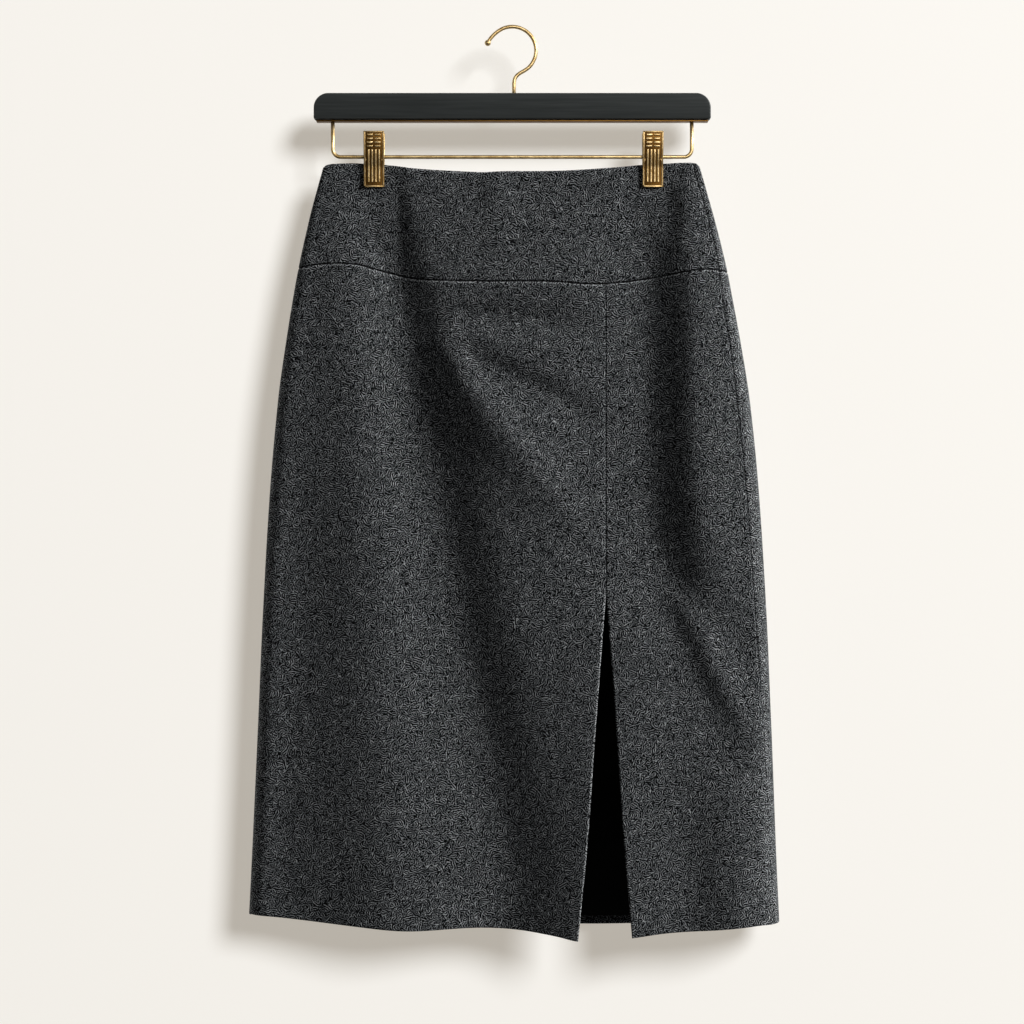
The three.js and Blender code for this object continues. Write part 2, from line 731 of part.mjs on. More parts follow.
// A bent wire: the path's own points are the steps of its tube, close together in the bends
class WirePath extends THREE.Curve {
  constructor(points) {
    super();
    this.points = points;
  }
  getPoint(t, target = new THREE.Vector3()) {
    const at = t * (this.points.length - 1);
    const i = Math.min(Math.floor(at), this.points.length - 2);
    return target.copy(this.points[i]).lerp(this.points[i + 1], at - i);
  }
  getTangent(t, target = new THREE.Vector3()) {
    const last = this.points.length - 1;
    const i = Math.round(t * last);
    return target
      .copy(this.points[Math.min(i + 1, last)])
      .sub(this.points[Math.max(i - 1, 0)])
      .normalize();
  }
  getUtoTmapping(u) {
    return u;
  }
}

function wireGeometry(points) {
  const section = new THREE.Shape().absarc(0, 0, wire, 0, 2 * Math.PI);
  return new THREE.ExtrudeGeometry(section, {
    extrudePath: new WirePath(points),
    steps: points.length - 1,
    curveSegments: 4,
    bevelEnabled: false,
  });
}

const inFront = (x, z) => new THREE.Vector3(x, 0, z);

function hookPoints() {
  const middleZ = wire - hookRadius; // of the hook's round part
  const points = [];
  const tipAngle = 163;
  const leaveAngle = -22;
  const roundSteps = 16;
  for (let i = 0; i <= roundSteps; i++) {
    const turn = THREE.MathUtils.degToRad(THREE.MathUtils.lerp(tipAngle, leaveAngle, i / roundSteps));
    points.push(inFront(hookRadius * Math.cos(turn), middleZ + hookRadius * Math.sin(turn)));
  }
  // the return bend, from the round part down to the stem
  const bend = new THREE.CatmullRomCurve3(
    [
      points[points.length - 1],
      inFront(15.8, middleZ - 13.9),
      inFront(11.4, middleZ - 17.2),
      inFront(7.0, middleZ - 20.4),
      inFront(3.7, middleZ - 23.7),
      inFront(1.9, middleZ - 27.6),
      inFront(stemX, middleZ - 32.5),
    ],
    false,
    "centripetal",
  );
  const bendSteps = 12;
  for (let i = 1; i <= bendSteps; i++) points.push(bend.getPoint(i / bendSteps));
  points.push(inFront(stemX, bar.top - intoBar));
  return points;
}

function rodPoints() {
  const top = bar.top - bar.height + intoBar;
  const points = [inFront(-rod.legX, top)];
  const steps = 6;
  const bendAt = (side, i) => {
    const turn = (i / steps) * (Math.PI / 2);
    const x = side * (rod.legX - rod.bend + rod.bend * Math.cos(turn));
    return inFront(x, rod.z + rod.bend - rod.bend * Math.sin(turn));
  };
  for (let i = 0; i <= steps; i++) points.push(bendAt(-1, i));
  for (let i = steps; i >= 0; i--) points.push(bendAt(1, i));
  points.push(inFront(rod.legX, top));
  return points;
}

function drillHole(x, lowZ, highZ) {
  const radius = wire + runningGap;
  const hole = new THREE.CylinderGeometry(radius, radius, highZ - lowZ, 16);
  return toSolid(hole.rotateX(Math.PI / 2).translate(x, 0, (lowZ + highZ) / 2));
}

function addHanger() {
  const half = bar.width / 2;
  const low = bar.top - bar.height;
  const outline = roundedRectangle(-half, low, half, bar.top, bar.lowCorner, bar.topCorner);
  const wood = extrudeAlongY(outline, -bar.depth / 2 + bar.round, bar.depth / 2 - bar.round, {
    bevelEnabled: true,
    bevelSize: bar.round,
    bevelOffset: -bar.round,
    bevelThickness: bar.round,
    bevelSegments: 2,
    curveSegments: 4,
  });
  const past = 5; // how far a drill starts outside the wood
  const deep = intoBar + runningGap;
  const legHoles = [-rod.legX, rod.legX].map((x) => drillHole(x, low - past, low + deep));
  const stemHole = drillHole(stemX, bar.top - deep, bar.top + past);
  let barSolid = toSolid(wood).subtract(stemHole);
  const trimTop = low - seamGap;
  let trimSolid = toSolid(
    boxBetween(
      [-trim.width / 2, -trim.depth / 2, trimTop - trim.thick],
      [trim.width / 2, trim.depth / 2, trimTop],
    ),
  );
  for (const hole of legHoles) {
    barSolid = barSolid.subtract(hole);
    trimSolid = trimSolid.subtract(hole);
  }
  addNode("hanger_bar", toGeometry(barSolid), woodFinish);
  addNode("bar_trim", toGeometry(trimSolid), brassFinish);

  const points = hookPoints();
  const ballRadius = 3;
  const ball = new THREE.SphereGeometry(ballRadius, 14, 9).translate(points[0].x, 0, points[0].z);
  const hook = toSolid(wireGeometry(points)).add(toSolid(ball));
  addNode("hanger_hook", toGeometry(hook), brassFinish);
  addNode("hanger_rod", wireGeometry(rodPoints()), brassFinish);
}

// Side view of a clip's plate, above and below the rod: the middle of its sheet
const plateProfile = [
  { up: 23.7, out: 8.6 },
  { up: 12, out: 7.6 },
  { up: 0, out: 5.6 },
  { up: -8, out: 3.7 },
  { up: -11, out: 2.9 },
  { up: -29.2, out: 2.9 },
];

function plateOut(up) {
  let i = 0;
  while (i < plateProfile.length - 2 && plateProfile[i + 1].up > up) i++;
  const a = plateProfile[i];
  const b = plateProfile[i + 1];
  return THREE.MathUtils.mapLinear(up, a.up, b.up, a.out, b.out);
}

// A strip of the plate's own bent form, between two heights, at two depths from its middle
function bentStrip(leftX, rightX, low, high, under, over) {
  const ups = [high];
  for (const row of plateProfile) if (row.up < high && row.up > low) ups.push(row.up);
  ups.push(low);
  const shape = new THREE.Shape();
  ups.forEach((up, i) => {
    const out = plateOut(up) + over;
    if (i === 0) shape.moveTo(out, up);
    else shape.lineTo(out, up);
  });
  for (const up of ups.reverse()) shape.lineTo(plateOut(up) + under, up);
  return toSolid(extrudeAlongX(shape, leftX, rightX));
}

// One of the ears that hold a plate on the rod, between two values of X
function earSolid(leftX, rightX) {
  const round = 4;
  const intoPlate = 5.8;
  const shape = new THREE.Shape();
  shape.moveTo(intoPlate, -round);
  shape.lineTo(intoPlate, round);
  shape.lineTo(0, round);
  shape.absarc(0, 0, round, Math.PI / 2, 1.5 * Math.PI);
  shape.holes.push(new THREE.Path().absarc(0, 0, wire + runningGap, 0, 2 * Math.PI));
  return toSolid(extrudeAlongX(shape, leftX, rightX, { curveSegments: 4 }));
}

// One plate of a clip, facing +Y: bent sheet, raised rim, ribs on the jaw, bars on the grip
function clipPlate(earAt) {
  const half = clip.width / 2;
  const sheet = clip.sheet / 2;
  const top = plateProfile[0].up;
  const low = plateProfile[plateProfile.length - 1].up;
  const rim = { width: 1.7, high: 0.6 };
  let solid = bentStrip(-half, half, low, top, -sheet, sheet);
  const raise = (leftX, rightX, from, to, high) => {
    solid = solid.add(bentStrip(leftX, rightX, from, to, 0, sheet + high));
  };
  raise(-half, -half + rim.width, low, top, rim.high);
  raise(half - rim.width, half, low, top, rim.high);
  raise(-half + 1, half - 1, low, low + 1.8, rim.high);
  raise(-half + 1, half - 1, top - 1.4, top, rim.high);
  const rib = { count: 4, spacing: 3.35, width: 1.6, high: 0.9 };
  for (let i = 0; i < rib.count; i++) {
    const x = (i - (rib.count - 1) / 2) * rib.spacing;
    raise(x - rib.width / 2, x + rib.width / 2, -24.5, 6.6, rib.high);
  }
  const dash = { rows: 4, top: 20.2, spacing: 3.6, width: 5.8, tall: 1.6, fromMiddle: 3.75, high: 0.8 };
  for (let row = 0; row < dash.rows; row++)
    for (const side of [-1, 1]) {
      const up = dash.top - row * dash.spacing;
      const x = side * dash.fromMiddle;
      const across = dash.width / 2;
      raise(x - across, x + across, up - dash.tall / 2, up + dash.tall / 2, dash.high);
    }
  const earWall = 1.2;
  for (const side of [-1, 1]) {
    const x = side * earAt;
    solid = solid.add(earSolid(x - earWall / 2, x + earWall / 2));
  }
  return toGeometry(solid);
}

function springGeometry() {
  const inner = wire + runningGap;
  const outer = 3.4;
  const half = 5.0;
  const profile = [
    new THREE.Vector2(inner, -half),
    new THREE.Vector2(outer, -half),
    new THREE.Vector2(outer, half),
    new THREE.Vector2(inner, half),
    new THREE.Vector2(inner, -half),
  ];
  return new THREE.LatheGeometry(profile, 14).rotateZ(Math.PI / 2);
}

function addClip(name, x) {
  const group = new THREE.Group();
  group.position.set(x, 0, rod.z);
  skirt.add(group);
  const front = addNode(`${name}_front`, clipPlate(8.0), brassFinish, group);
  front.rotation.z = Math.PI;
  addNode(`${name}_back`, clipPlate(6.4), brassFinish, group);
  addNode(`${name}_spring`, springGeometry(), springFinish, group);
}

addYokes();
addPanels();
addLining();
addZip();
addHanger();
addClip("clip_left", clip.left);
addClip("clip_right", clip.right);

export default skirt;
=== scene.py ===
import json
import math

import bmesh
import bpy
import numpy as np
from mathutils import Matrix, Vector

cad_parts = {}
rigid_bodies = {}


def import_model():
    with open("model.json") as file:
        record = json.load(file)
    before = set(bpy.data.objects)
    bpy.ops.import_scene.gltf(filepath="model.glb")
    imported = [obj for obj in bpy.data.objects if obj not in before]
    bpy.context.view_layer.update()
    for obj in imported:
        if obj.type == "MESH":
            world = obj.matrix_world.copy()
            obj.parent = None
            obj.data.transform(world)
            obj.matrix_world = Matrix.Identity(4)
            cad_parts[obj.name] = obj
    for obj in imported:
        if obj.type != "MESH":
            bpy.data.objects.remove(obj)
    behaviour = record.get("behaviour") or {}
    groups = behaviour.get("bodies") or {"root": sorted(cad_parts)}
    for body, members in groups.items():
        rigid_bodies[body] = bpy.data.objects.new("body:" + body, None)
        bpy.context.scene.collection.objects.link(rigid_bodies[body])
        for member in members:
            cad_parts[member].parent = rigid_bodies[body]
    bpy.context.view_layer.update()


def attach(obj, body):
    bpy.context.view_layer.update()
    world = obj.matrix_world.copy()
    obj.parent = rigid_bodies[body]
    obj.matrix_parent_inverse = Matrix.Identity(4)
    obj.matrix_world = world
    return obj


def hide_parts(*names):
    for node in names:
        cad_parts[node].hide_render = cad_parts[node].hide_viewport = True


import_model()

mm = 0.001  # tables and sizes below are in millimetres, Blender's own are in metres
skirtBody = "skirt_and_hanger"

# the camera stands straight in front, far enough back for the photograph's flat view
cameraPlace = {"distance": 2600, "x": -0.24, "z": -462.2, "lens": 95.6, "sensor": 36, "sight": 50000}


def makeCamera(place):
    data = bpy.data.cameras.new("camera")
    data.lens = place["lens"]
    data.sensor_width = place["sensor"]
    data.clip_end = place["sight"] * mm
    camera = bpy.data.objects.new("camera", data)
    camera.location = Vector((place["x"], -place["distance"], place["z"])) * mm
    camera.rotation_euler = (math.radians(90), 0, 0)
    bpy.context.collection.objects.link(camera)
    bpy.context.scene.camera = camera


makeCamera(cameraPlace)
print("camera ready")


def table(columns, *rows):
    # a dictionary for each row, its keys named once
    names = columns.split()
    return [dict(zip(names, row)) for row in rows]


# materials

def srgb(text):
    # an sRGB hex value as a linear colour
    parts = [int(text[i:i + 2], 16) / 255 for i in (1, 3, 5)]
    return [p / 12.92 if p <= 0.04045 else ((p + 0.055) / 1.055) ** 2.4 for p in parts] + [1.0]


def addNode(tree, kind, settings=None, links=None):
    # a node with its settings (socket names, socket numbers or properties) and its links
    node = tree.nodes.new(kind)
    for key, value in (settings or {}).items():
        if isinstance(key, int) or key in node.inputs:
            node.inputs[key].default_value = value
        else:
            setattr(node, key, value)
    for key, source in (links or {}).items():
        tree.links.new(source, node.inputs[key])
    return node


def newMaterial(name, settings):
    # a principled material; the settings are its shader's
    material = bpy.data.materials.new(name)
    material.use_nodes = True
    tree = material.node_tree
    tree.nodes.clear()
    shader = addNode(tree, "ShaderNodeBsdfPrincipled", settings)
    addNode(tree, "ShaderNodeOutputMaterial", links={"Surface": shader.outputs["BSDF"]})
    return material, tree, shader


def colourAndRelief(tree, shader, height, stops, bump):
    # the relief that a height gives the shader, and the height's colour, which is given back; stops
    # are pairs of a place from 0 to 1 and an sRGB hex value, and the bump is a strength and millimetres
    ramp = addNode(tree, "ShaderNodeValToRGB", links={0: height})
    elements = ramp.color_ramp.elements
    for place, value in stops[1:-1]:
        elements.new(place)
    for element, (place, value) in zip(elements, stops):
        element.position, element.color = place, srgb(value)
    strength, depth = bump
    relief = addNode(tree, "ShaderNodeBump", {"Strength": strength, "Distance": depth * mm},
                     {"Height": height})
    tree.links.new(relief.outputs["Normal"], shader.inputs["Normal"])
    return ramp.outputs["Color"]


tweedLook = {
    "stops": [(0.42, "#010102"), (0.53, "#17191C"), (0.635, "#606468"), (0.77, "#C5C9CC")],
    "strokeMm": 2.0,  # from one curl of the yarn to the next, as coarse as the photograph draws it
    "bunchMm": 9.5,  # size of a bunch of curls that lie one way
    "napMm": 1.1, "patchMm": 15.0, "bump": (0.35, 0.5),
    "lieTurn": 9.0,  # how far the curls' direction wanders from bunch to bunch
    # what makes a fibre pale: the even curls, a level for all, and the weights of the rest
    "even": 0.15, "level": 0.11,
    # the seam weight mixes in the painted shade along seams and the painted highlight along edges
    "weights": {"tall": 0.4, "crossing": 0.2, "nap": 0.15, "patch": 0.02, "seam": 0.3},
}


def tweedMaterial(look=tweedLook):
    # napped wool tweed, woven: pale fibres curl in small bunches on a near-black ground
    material, tree, shader = newMaterial(
        "napped_wool_tweed", {"Roughness": 0.95, "Specular IOR Level": 0.15})
    uv = addNode(tree, "ShaderNodeUVMap", {"uv_map": "cloth"}).outputs["UV"]
    parts = {}
    for name in ("bunch", "nap", "patch"):
        noise = addNode(tree, "ShaderNodeTexNoise",
                        {"noise_dimensions": "2D", "Scale": 1 / (look[f"{name}Mm"] * mm), "Detail": 1.0},
                        {"Vector": uv})
        parts[name] = noise.outputs["Fac"]
    lie = addNode(tree, "ShaderNodeMath", {"operation": "MULTIPLY", 1: look["lieTurn"]}, {0: parts["bunch"]})
    curls = table("name waves size straight", ("tall", 3.5, 1.0, 1.0), ("crossing", 2.5, 1.15, 0.8))
    for curl in curls:
        size = curl["waves"] * look["strokeMm"] * curl["size"] * mm
        gabor = addNode(tree, "ShaderNodeTexGabor",
                        {"gabor_type": "2D", "Scale": 1 / size, "Frequency": curl["waves"],
                         "Anisotropy": curl["straight"]}, {"Vector": uv, "Orientation": lie.outputs[0]})
        parts[curl["name"]] = gabor.outputs["Value"]
        parts[curl["name"] + "Phase"] = gabor.outputs["Phase"]
    # the wave's phase alone makes every curl equally tall, its value lets some stand out
    turn = addNode(tree, "ShaderNodeMath", {"operation": "MULTIPLY", 1: -2 * math.pi},
                   {0: parts["tallPhase"]})
    even = addNode(tree, "ShaderNodeMath", {"operation": "SINE"}, {0: turn.outputs[0]})
    height = addNode(tree, "ShaderNodeMath",
                     {"operation": "MULTIPLY_ADD", 1: look["even"], 2: look["level"]}, {0: even.outputs[0]})
    # the nap breaks them up and some bunches are paler; painted shade darkens the seams, and a
    # painted highlight lightens the edges that stand out
    parts["seam"] = addNode(tree, "ShaderNodeAttribute", {"attribute_name": "paintedShading"}).outputs["Fac"]
    for name, weight in look["weights"].items():
        height = addNode(tree, "ShaderNodeMath", {"operation": "MULTIPLY_ADD", 1: weight},
                         {0: parts[name], 2: height.outputs[0]})
    wool = colourAndRelief(tree, shader, height.outputs[0], look["stops"], look["bump"])
    tree.links.new(wool, shader.inputs["Base Color"])
    return material


# materials of one look each: two colours and two roughnesses, mixed by stretched noise, and the
# bump's strength and depth; metals keep the shader's own IOR
surfaces = {
    # lacquer over beech: near black, a faint grain along the bar
    "matt_black_lacquered_beech": {
        "colours": ("#3A3E3E", "#454949"), "roughness": (0.42, 0.5), "settings": {"IOR": 1.5},
        "grainMm": (60.0, 2.2, 2.2), "bump": (0.06, 0.05)},
    # brass, plated and toned: gold, with brown where it is toned deeper
    "antique_brass_plate": {
        "colours": ("#A0875A", "#DCC79B"), "roughness": (0.46, 0.34), "settings": {"Metallic": 1.0},
        "grainMm": (7.0, 7.0, 7.0), "bump": (0.03, 0.03), "toned": "#563E1C"},
    # filament satin: black, with a soft sheen along its threads
    "satin_weave_lining": {
        "colours": ("#131313", "#191919"), "roughness": (0.6, 0.75), "settings": {"IOR": 1.25},
        "grainMm": (0.5, 0.5, 9.0), "bump": (0.1, 0.04)},
    # twisted polyester thread: black, duller than the lining
    "twisted_sewing_thread": {
        "colours": ("#030303", "#0A0A0A"), "roughness": (0.6, 0.8), "settings": {"IOR": 1.5},
        "grainMm": (0.4, 0.4, 0.4), "bump": (0.2, 0.05)},
    # narrow woven tape: black, with ribs across
    "woven_polyester_tape": {
        "colours": ("#060607", "#141416"), "roughness": (0.7, 0.9), "settings": {"IOR": 1.5},
        "grainMm": (6.0, 6.0, 0.9), "bump": (0.3, 0.1)},
    # baked enamel on zinc: smooth and black, slightly mottled
    "baked_black_enamel": {
        "colours": ("#0A0A0B", "#141416"), "roughness": (0.26, 0.34), "settings": {"IOR": 1.55},
        "grainMm": (1.6, 1.6, 1.6), "bump": (0.05, 0.02)},
    # drawn spring wire, brass toned: bright, with fine lines from the die
    "drawn_spring_wire": {
        "colours": ("#8A7A58", "#B7A880"), "roughness": (0.25, 0.38), "settings": {"Metallic": 1.0},
        "grainMm": (1.2, 0.4, 0.4), "bump": (0.05, 0.02)},
}


def surfaceMaterial(name):
    look = surfaces[name]
    material, tree, shader = newMaterial(name, look["settings"])
    where = addNode(tree, "ShaderNodeTexCoord").outputs["Object"]
    scale = [1 / (size * mm) for size in look["grainMm"]]
    stretched = addNode(tree, "ShaderNodeVectorMath", {"operation": "MULTIPLY", 1: scale}, {0: where})
    noise = addNode(tree, "ShaderNodeTexNoise", {"Scale": 1.0, "Detail": 3.0, "Roughness": 0.6},
                    {"Vector": stretched.outputs[0]})
    grain = noise.outputs["Fac"]
    colour = colourAndRelief(tree, shader, grain, list(zip((0.32, 0.68), look["colours"])), look["bump"])
    if "toned" in look:
        # the grooves keep the dark tone, the raised parts are rubbed bright
        groove = addNode(tree, "ShaderNodeAttribute", {"attribute_name": "recess"}).outputs["Fac"]
        toned = addNode(tree, "ShaderNodeMix", {"data_type": "RGBA", 7: srgb(look["toned"])},
                        {0: groove, 6: colour})
        colour = toned.outputs[2]
    tree.links.new(colour, shader.inputs["Base Color"])
    smooth, rough = look["roughness"]
    sheen = addNode(tree, "ShaderNodeMapRange",
                    {"From Min": 0.3, "From Max": 0.7, "To Min": smooth, "To Max": rough}, {"Value": grain})
    tree.links.new(sheen.outputs[0], shader.inputs["Roughness"])
    return material


# the form of the hanging cloth

skirt = {
    "waistZ": -129, "cloth": 1.6, "turned": 3.0, "hemTurn": 38, "facing": 30,
    "slitTop": 409, "frontSeamX": 89, "backSeamX": 10,
    "liningInset": 3.4, "liningCloth": 1.0, "liningLift": 8, "liningSewn": 3,
    "gripped": 2.0, "clipGrip": 24, "clipHalf": 10.8, "pressWidth": 24, "pressLength": 62,
    "clipX": (-132, 134.3),
}

# sections of the ring, at drops below the waist
sections = table(
    "drop left right half roll",
    (0, -180.0, 178.6, 4.8, 2.7),
    (25, -186.7, 185.5, 7.2, 3.6),
    (54, -194.3, 193.6, 11.0, 5.2),
    (95, -203.4, 203.9, 16.5, 7.5),
    (140, -211.5, 212.7, 21.0, 9.6),
    (183, -218.2, 220.4, 24.0, 11.2),
    (226, -223.9, 227.1, 26.0, 12.4),
    (312, -231.6, 235.7, 29.0, 14.0),
    (427, -238.3, 242.9, 31.5, 15.0),
    (542, -243.3, 247.9, 33.5, 15.6),
    (656, -248.6, 252.2, 35.5, 16.0),
    (740, -252.8, 256.1, 37.0, 16.2),
)
frontWaist = table(
    "x drop",
    (-181.8, 5.0), (-180.6, 3.0), (-178.5, 1.6), (-175, 0.8), (-171, 0.4), (-150, 0), (-118, 1.9),
    (-83, 6.6), (-45, 9.3), (0, 7.9), (45, 7.4), (89, 4.7), (123, 1.9), (152, -0.2), (166, -0.6),
    (172, -0.2), (176, 0.8), (178.3, 2.5), (179.6, 4.6), (180.4, 7.0),
)
backWaist = table(
    "x drop",
    (-181.8, 5.0), (-180, 2.6), (-176, 1.2), (-168, 0.5), (-132, 0.6), (-70, 5.8), (10, 8.4),
    (80, 5.2), (134, 0.8), (165, 0.8), (174, 1.4), (178, 3.2), (180.4, 7.0),
)
frontYoke = table(
    "x drop",
    (-206, 100.5), (-180, 96.6), (-151, 97.4), (-119, 105.0), (-88, 111.5), (-30, 113.8),
    (35, 114.0), (82, 116.2), (126, 111.6), (158, 106.0), (184, 102.6), (206, 104.5),
)
backYoke = table("x drop", (-206, 100.5), (-120, 106), (10, 115), (120, 109), (206, 104.5))
frontHem = table(
    "x drop",
    (-252, 716.5), (-235, 717.6), (-195, 721.2), (-150, 725.3), (-99, 729.1), (-37, 727.2),
    (5, 729), (42, 733.8), (62, 737.6), (88, 736.6), (113, 734.7), (144, 731.0),
    (189, 728.1), (234, 724.4), (254, 725),
)
backHem = table("x drop", (-252, 718), (-150, 727), (0, 731), (150, 730), (254, 725))
slit = table(
    "drop left right",
    (409, 89, 89), (448, 85.7, 91.4), (499, 81.8, 95.6), (557, 77.3, 99.3),
    (640, 71.4, 104.8), (740, 61.8, 113.2),
)
sideSeams = table(
    "drop right left",
    (0, 8.0, 7), (80, 11.5, 11), (130, 16.5, 13), (190, 19.5, 15), (230, 21.5, 17),
    (370, 22.0, 18), (430, 21.0, 18), (550, 17.7, 16), (740, 15.0, 14),
)

# folds that run down: their middle, how far they push the cloth out or in, and their two widths
foldColumns = "drop x push left right"
frontFolds = [
    # trough from the left clip, then down the middle of the wide panel
    table(foldColumns, (6, -126, 0, 18, 13), (26, -123, -6.5, 20, 15), (85, -116, -11, 24, 22),
          (132, -107, -12.5, 28, 28), (180, -98, -14, 34, 34), (256, -84, -15, 42, 38),
          (322, -72, -15.5, 47, 38), (416, -56, -15.5, 52, 38), (511, -37, -16.5, 58, 39),
          (568, -26, -16, 58, 40), (653, -15, -15, 54, 43), (745, -10, -14, 50, 46)),
    # broad ridge to the left of that trough
    table(foldColumns, (40, -162, 0, 24, 20), (120, -158, 2.5, 30, 24), (250, -144, 4.2, 36, 28),
          (400, -133, 5.2, 42, 34), (560, -127, 6, 46, 38), (745, -121, 6.5, 50, 40)),
    # short ridge at the waist
    table(foldColumns, (-10, -14, 2.0, 12, 15), (30, -14, 2.6, 12, 15), (70, -16, 1.2, 12, 14),
          (100, -16, 0, 12, 12)),
    # step up to the right of the right clip: a trough, then a ridge
    table(foldColumns, (6, 130, 0, 20, 12), (40, 125, -4.5, 30, 16), (100, 124, -7, 46, 21),
          (196, 123, -7, 58, 24), (290, 125, -7, 62, 25), (353, 131, -6.4, 62, 25),
          (400, 144, -5.5, 50, 25), (450, 164, -3, 36, 24), (490, 178, 0, 30, 22)),
    table(foldColumns, (8, 160, 0, 12, 16), (30, 163, 3.5, 14, 18), (60, 168, 7, 17, 24),
          (120, 174, 12, 23, 36), (200, 176, 14.5, 25, 42), (290, 177, 14.5, 26, 44),
          (353, 182, 12, 26, 44), (410, 194, 7, 26, 40), (470, 214, 0, 24, 28)),
    # short ridge that slants off to the right below it
    table(foldColumns, (392, 148, 0, 14, 16), (430, 167, 6.5, 15, 17), (470, 188, 8.5, 18, 19),
          (512, 209, 7.5, 18, 19), (552, 226, 3.5, 19, 18), (590, 238, 0, 18, 18)),
    # ridge and trough that cross the belly down to the right
    table(foldColumns, (150, -76, 0, 16, 16), (180, -60, 4, 22, 17), (228, -31, 7.5, 30, 19),
          (265, -2, 7.5, 34, 22), (320, 40, 5, 36, 26), (380, 72, 0, 34, 28)),
    # the narrow panel turns away from the light
    table(foldColumns, (200, 222, 0, 80, 24), (300, 223, 4.5, 110, 26), (520, 226, 6, 115, 28),
          (745, 230, 6, 120, 28)),
    # soft trough and ridge down the narrow panel
    table(foldColumns, (520, 158, 0, 50, 24), (620, 164, -2, 58, 24), (745, 164, -2.5, 60, 28)),
    # shallow trough beside the left fold
    table(foldColumns, (220, -196, 0, 16, 20), (340, -203, -1.4, 18, 26), (520, -210, -1.6, 18, 28),
          (745, -216, -1.2, 18, 28)),
    table(foldColumns, (530, 212, 0, 30, 24), (630, 214, 10, 36, 26), (745, 216, 12, 40, 26)),
    # lips of the slit, which stand forward
    table(foldColumns, (380, 92, 0, 40, 70), (480, 92, 4, 40, 90), (600, 88, 8.5, 40, 105),
          (745, 87, 10.5, 46, 110)),
]
# folds that run across the belly: their height, push, and widths above and below
crossColumns = "x drop push above below"
crossFolds = [
    # hollow below the yoke seam
    table(crossColumns, (-72, 144, 0, 12, 14), (-38, 148, -6.4, 14, 15), (10, 151, -7, 15, 16),
          (50, 154, -5, 15, 16), (88, 158, 0, 13, 16)),
    # hollow that slants down to the right below it
    table(crossColumns, (-64, 172, 0, 12, 14), (-30, 192, -5.4, 14, 18), (10, 211, -6.4, 15, 20),
          (55, 233, -5, 16, 22), (108, 256, 0, 16, 22)),
]
backFolds = [
    table(foldColumns, (8, -130, 0, 13, 13), (40, -125, -2.5, 15, 15), (110, -112, -6.5, 20, 20),
          (220, -98, -7.5, 24, 24), (360, -82, -5.5, 28, 28), (520, -64, -2.5, 32, 32),
          (640, -50, 0, 36, 36)),
    table(foldColumns, (8, 134, 0, 12, 12), (40, 138, -2.5, 14, 14), (120, 132, -6, 18, 18),
          (240, 121, -7, 22, 22), (380, 112, -5, 26, 26), (560, 100, -2, 30, 30),
          (680, 92, 0, 34, 34)),
    table(foldColumns, (300, -30, 0, 40, 40), (500, -20, 4, 48, 48), (745, -12, 5, 54, 54)),
    table(foldColumns, (420, 152, 0, 30, 30), (600, 152, 3, 36, 36), (745, 154, 4.5, 40, 40)),
    table(foldColumns, (480, 62, 0, 34, 34), (620, 64, -3, 38, 38), (745, 68, -4, 42, 42)),
]


def readTable(rows, key, column, at, flatEnds=False):
    # a smooth curve through the rows, read at many values of the key at once; level at both ends
    # where asked for
    keys = np.array([row[key] for row in rows], float)
    values = np.array([row[column] for row in rows], float)
    at = np.clip(np.asarray(at, float), keys[0], keys[-1])
    last = len(keys) - 1
    i = np.clip(np.searchsorted(keys, at, side="right") - 1, 0, last - 1)
    before, after = np.maximum(i - 1, 0), np.minimum(i + 2, last)
    width = keys[i + 1] - keys[i]
    t = (at - keys[i]) / width
    startSlope = (values[i + 1] - values[before]) / (keys[i + 1] - keys[before]) * width
    endSlope = (values[after] - values[i]) / (keys[after] - keys[i]) * width
    if flatEnds:
        startSlope = np.where(i == 0, 0, startSlope)
        endSlope = np.where(i == last - 1, 0, endSlope)
    rise = values[i + 1] - values[i]
    return (values[i] + startSlope * (t - 2 * t**2 + t**3)
            + rise * (3 * t**2 - 2 * t**3) + endSlope * (t**3 - t**2))


def smoothStep(low, high, at):
    t = np.clip((np.asarray(at, float) - low) / (high - low), 0, 1)
    return t * t * (3 - 2 * t)


def sectionAt(drop):
    # the ring of the skirt at a drop: two straight faces joined by a round fold at each side
    left, right, half, roll = (readTable(sections, "drop", name, drop)
                               for name in ("left", "right", "half", "roll"))
    quarter = roll * math.pi / 2
    reach = (right - left) / 2 - roll  # from the middle to where a fold starts
    return {"middle": (left + right) / 2, "reach": reach, "half": half, "roll": roll,
            "quarter": quarter, "halfRing": 2 * quarter + 2 * reach}


def foldPush(folds, key, column, sides, at, other):
    # the push of folds whose rows are read at one direction, over the distance in the other
    push = np.zeros_like(at)
    for fold in folds:
        inside = (at > fold[0][key]) & (at < fold[-1][key])
        away = other - readTable(fold, key, column, at)
        widths = [readTable(fold, key, side, at) for side in sides]
        width = np.where(away < 0, widths[0], widths[1])
        height = readTable(fold, key, "push", at, flatEnds=True)
        push += np.where(inside, height * np.exp(-(away / width) ** 2), 0)
    return push


def facePush(x, drop, onFront):
    downwards = ("drop", "x", ("left", "right"), drop, x)
    front = foldPush(frontFolds, *downwards)
    front += foldPush(crossFolds, "x", "drop", ("above", "below"), x, drop)
    return np.where(onFront, front, foldPush(backFolds, *downwards))


def pinch(x, drop):
    # how tightly a clip presses the cloth flat, from 0 to 1
    down = 1 - smoothStep(skirt["clipGrip"], skirt["clipGrip"] + skirt["pressLength"], drop)
    half = skirt["clipHalf"]
    across = [1 - smoothStep(half, half + skirt["pressWidth"], abs(x - clipX)) for clipX in skirt["clipX"]]
    return down * np.maximum(*across)


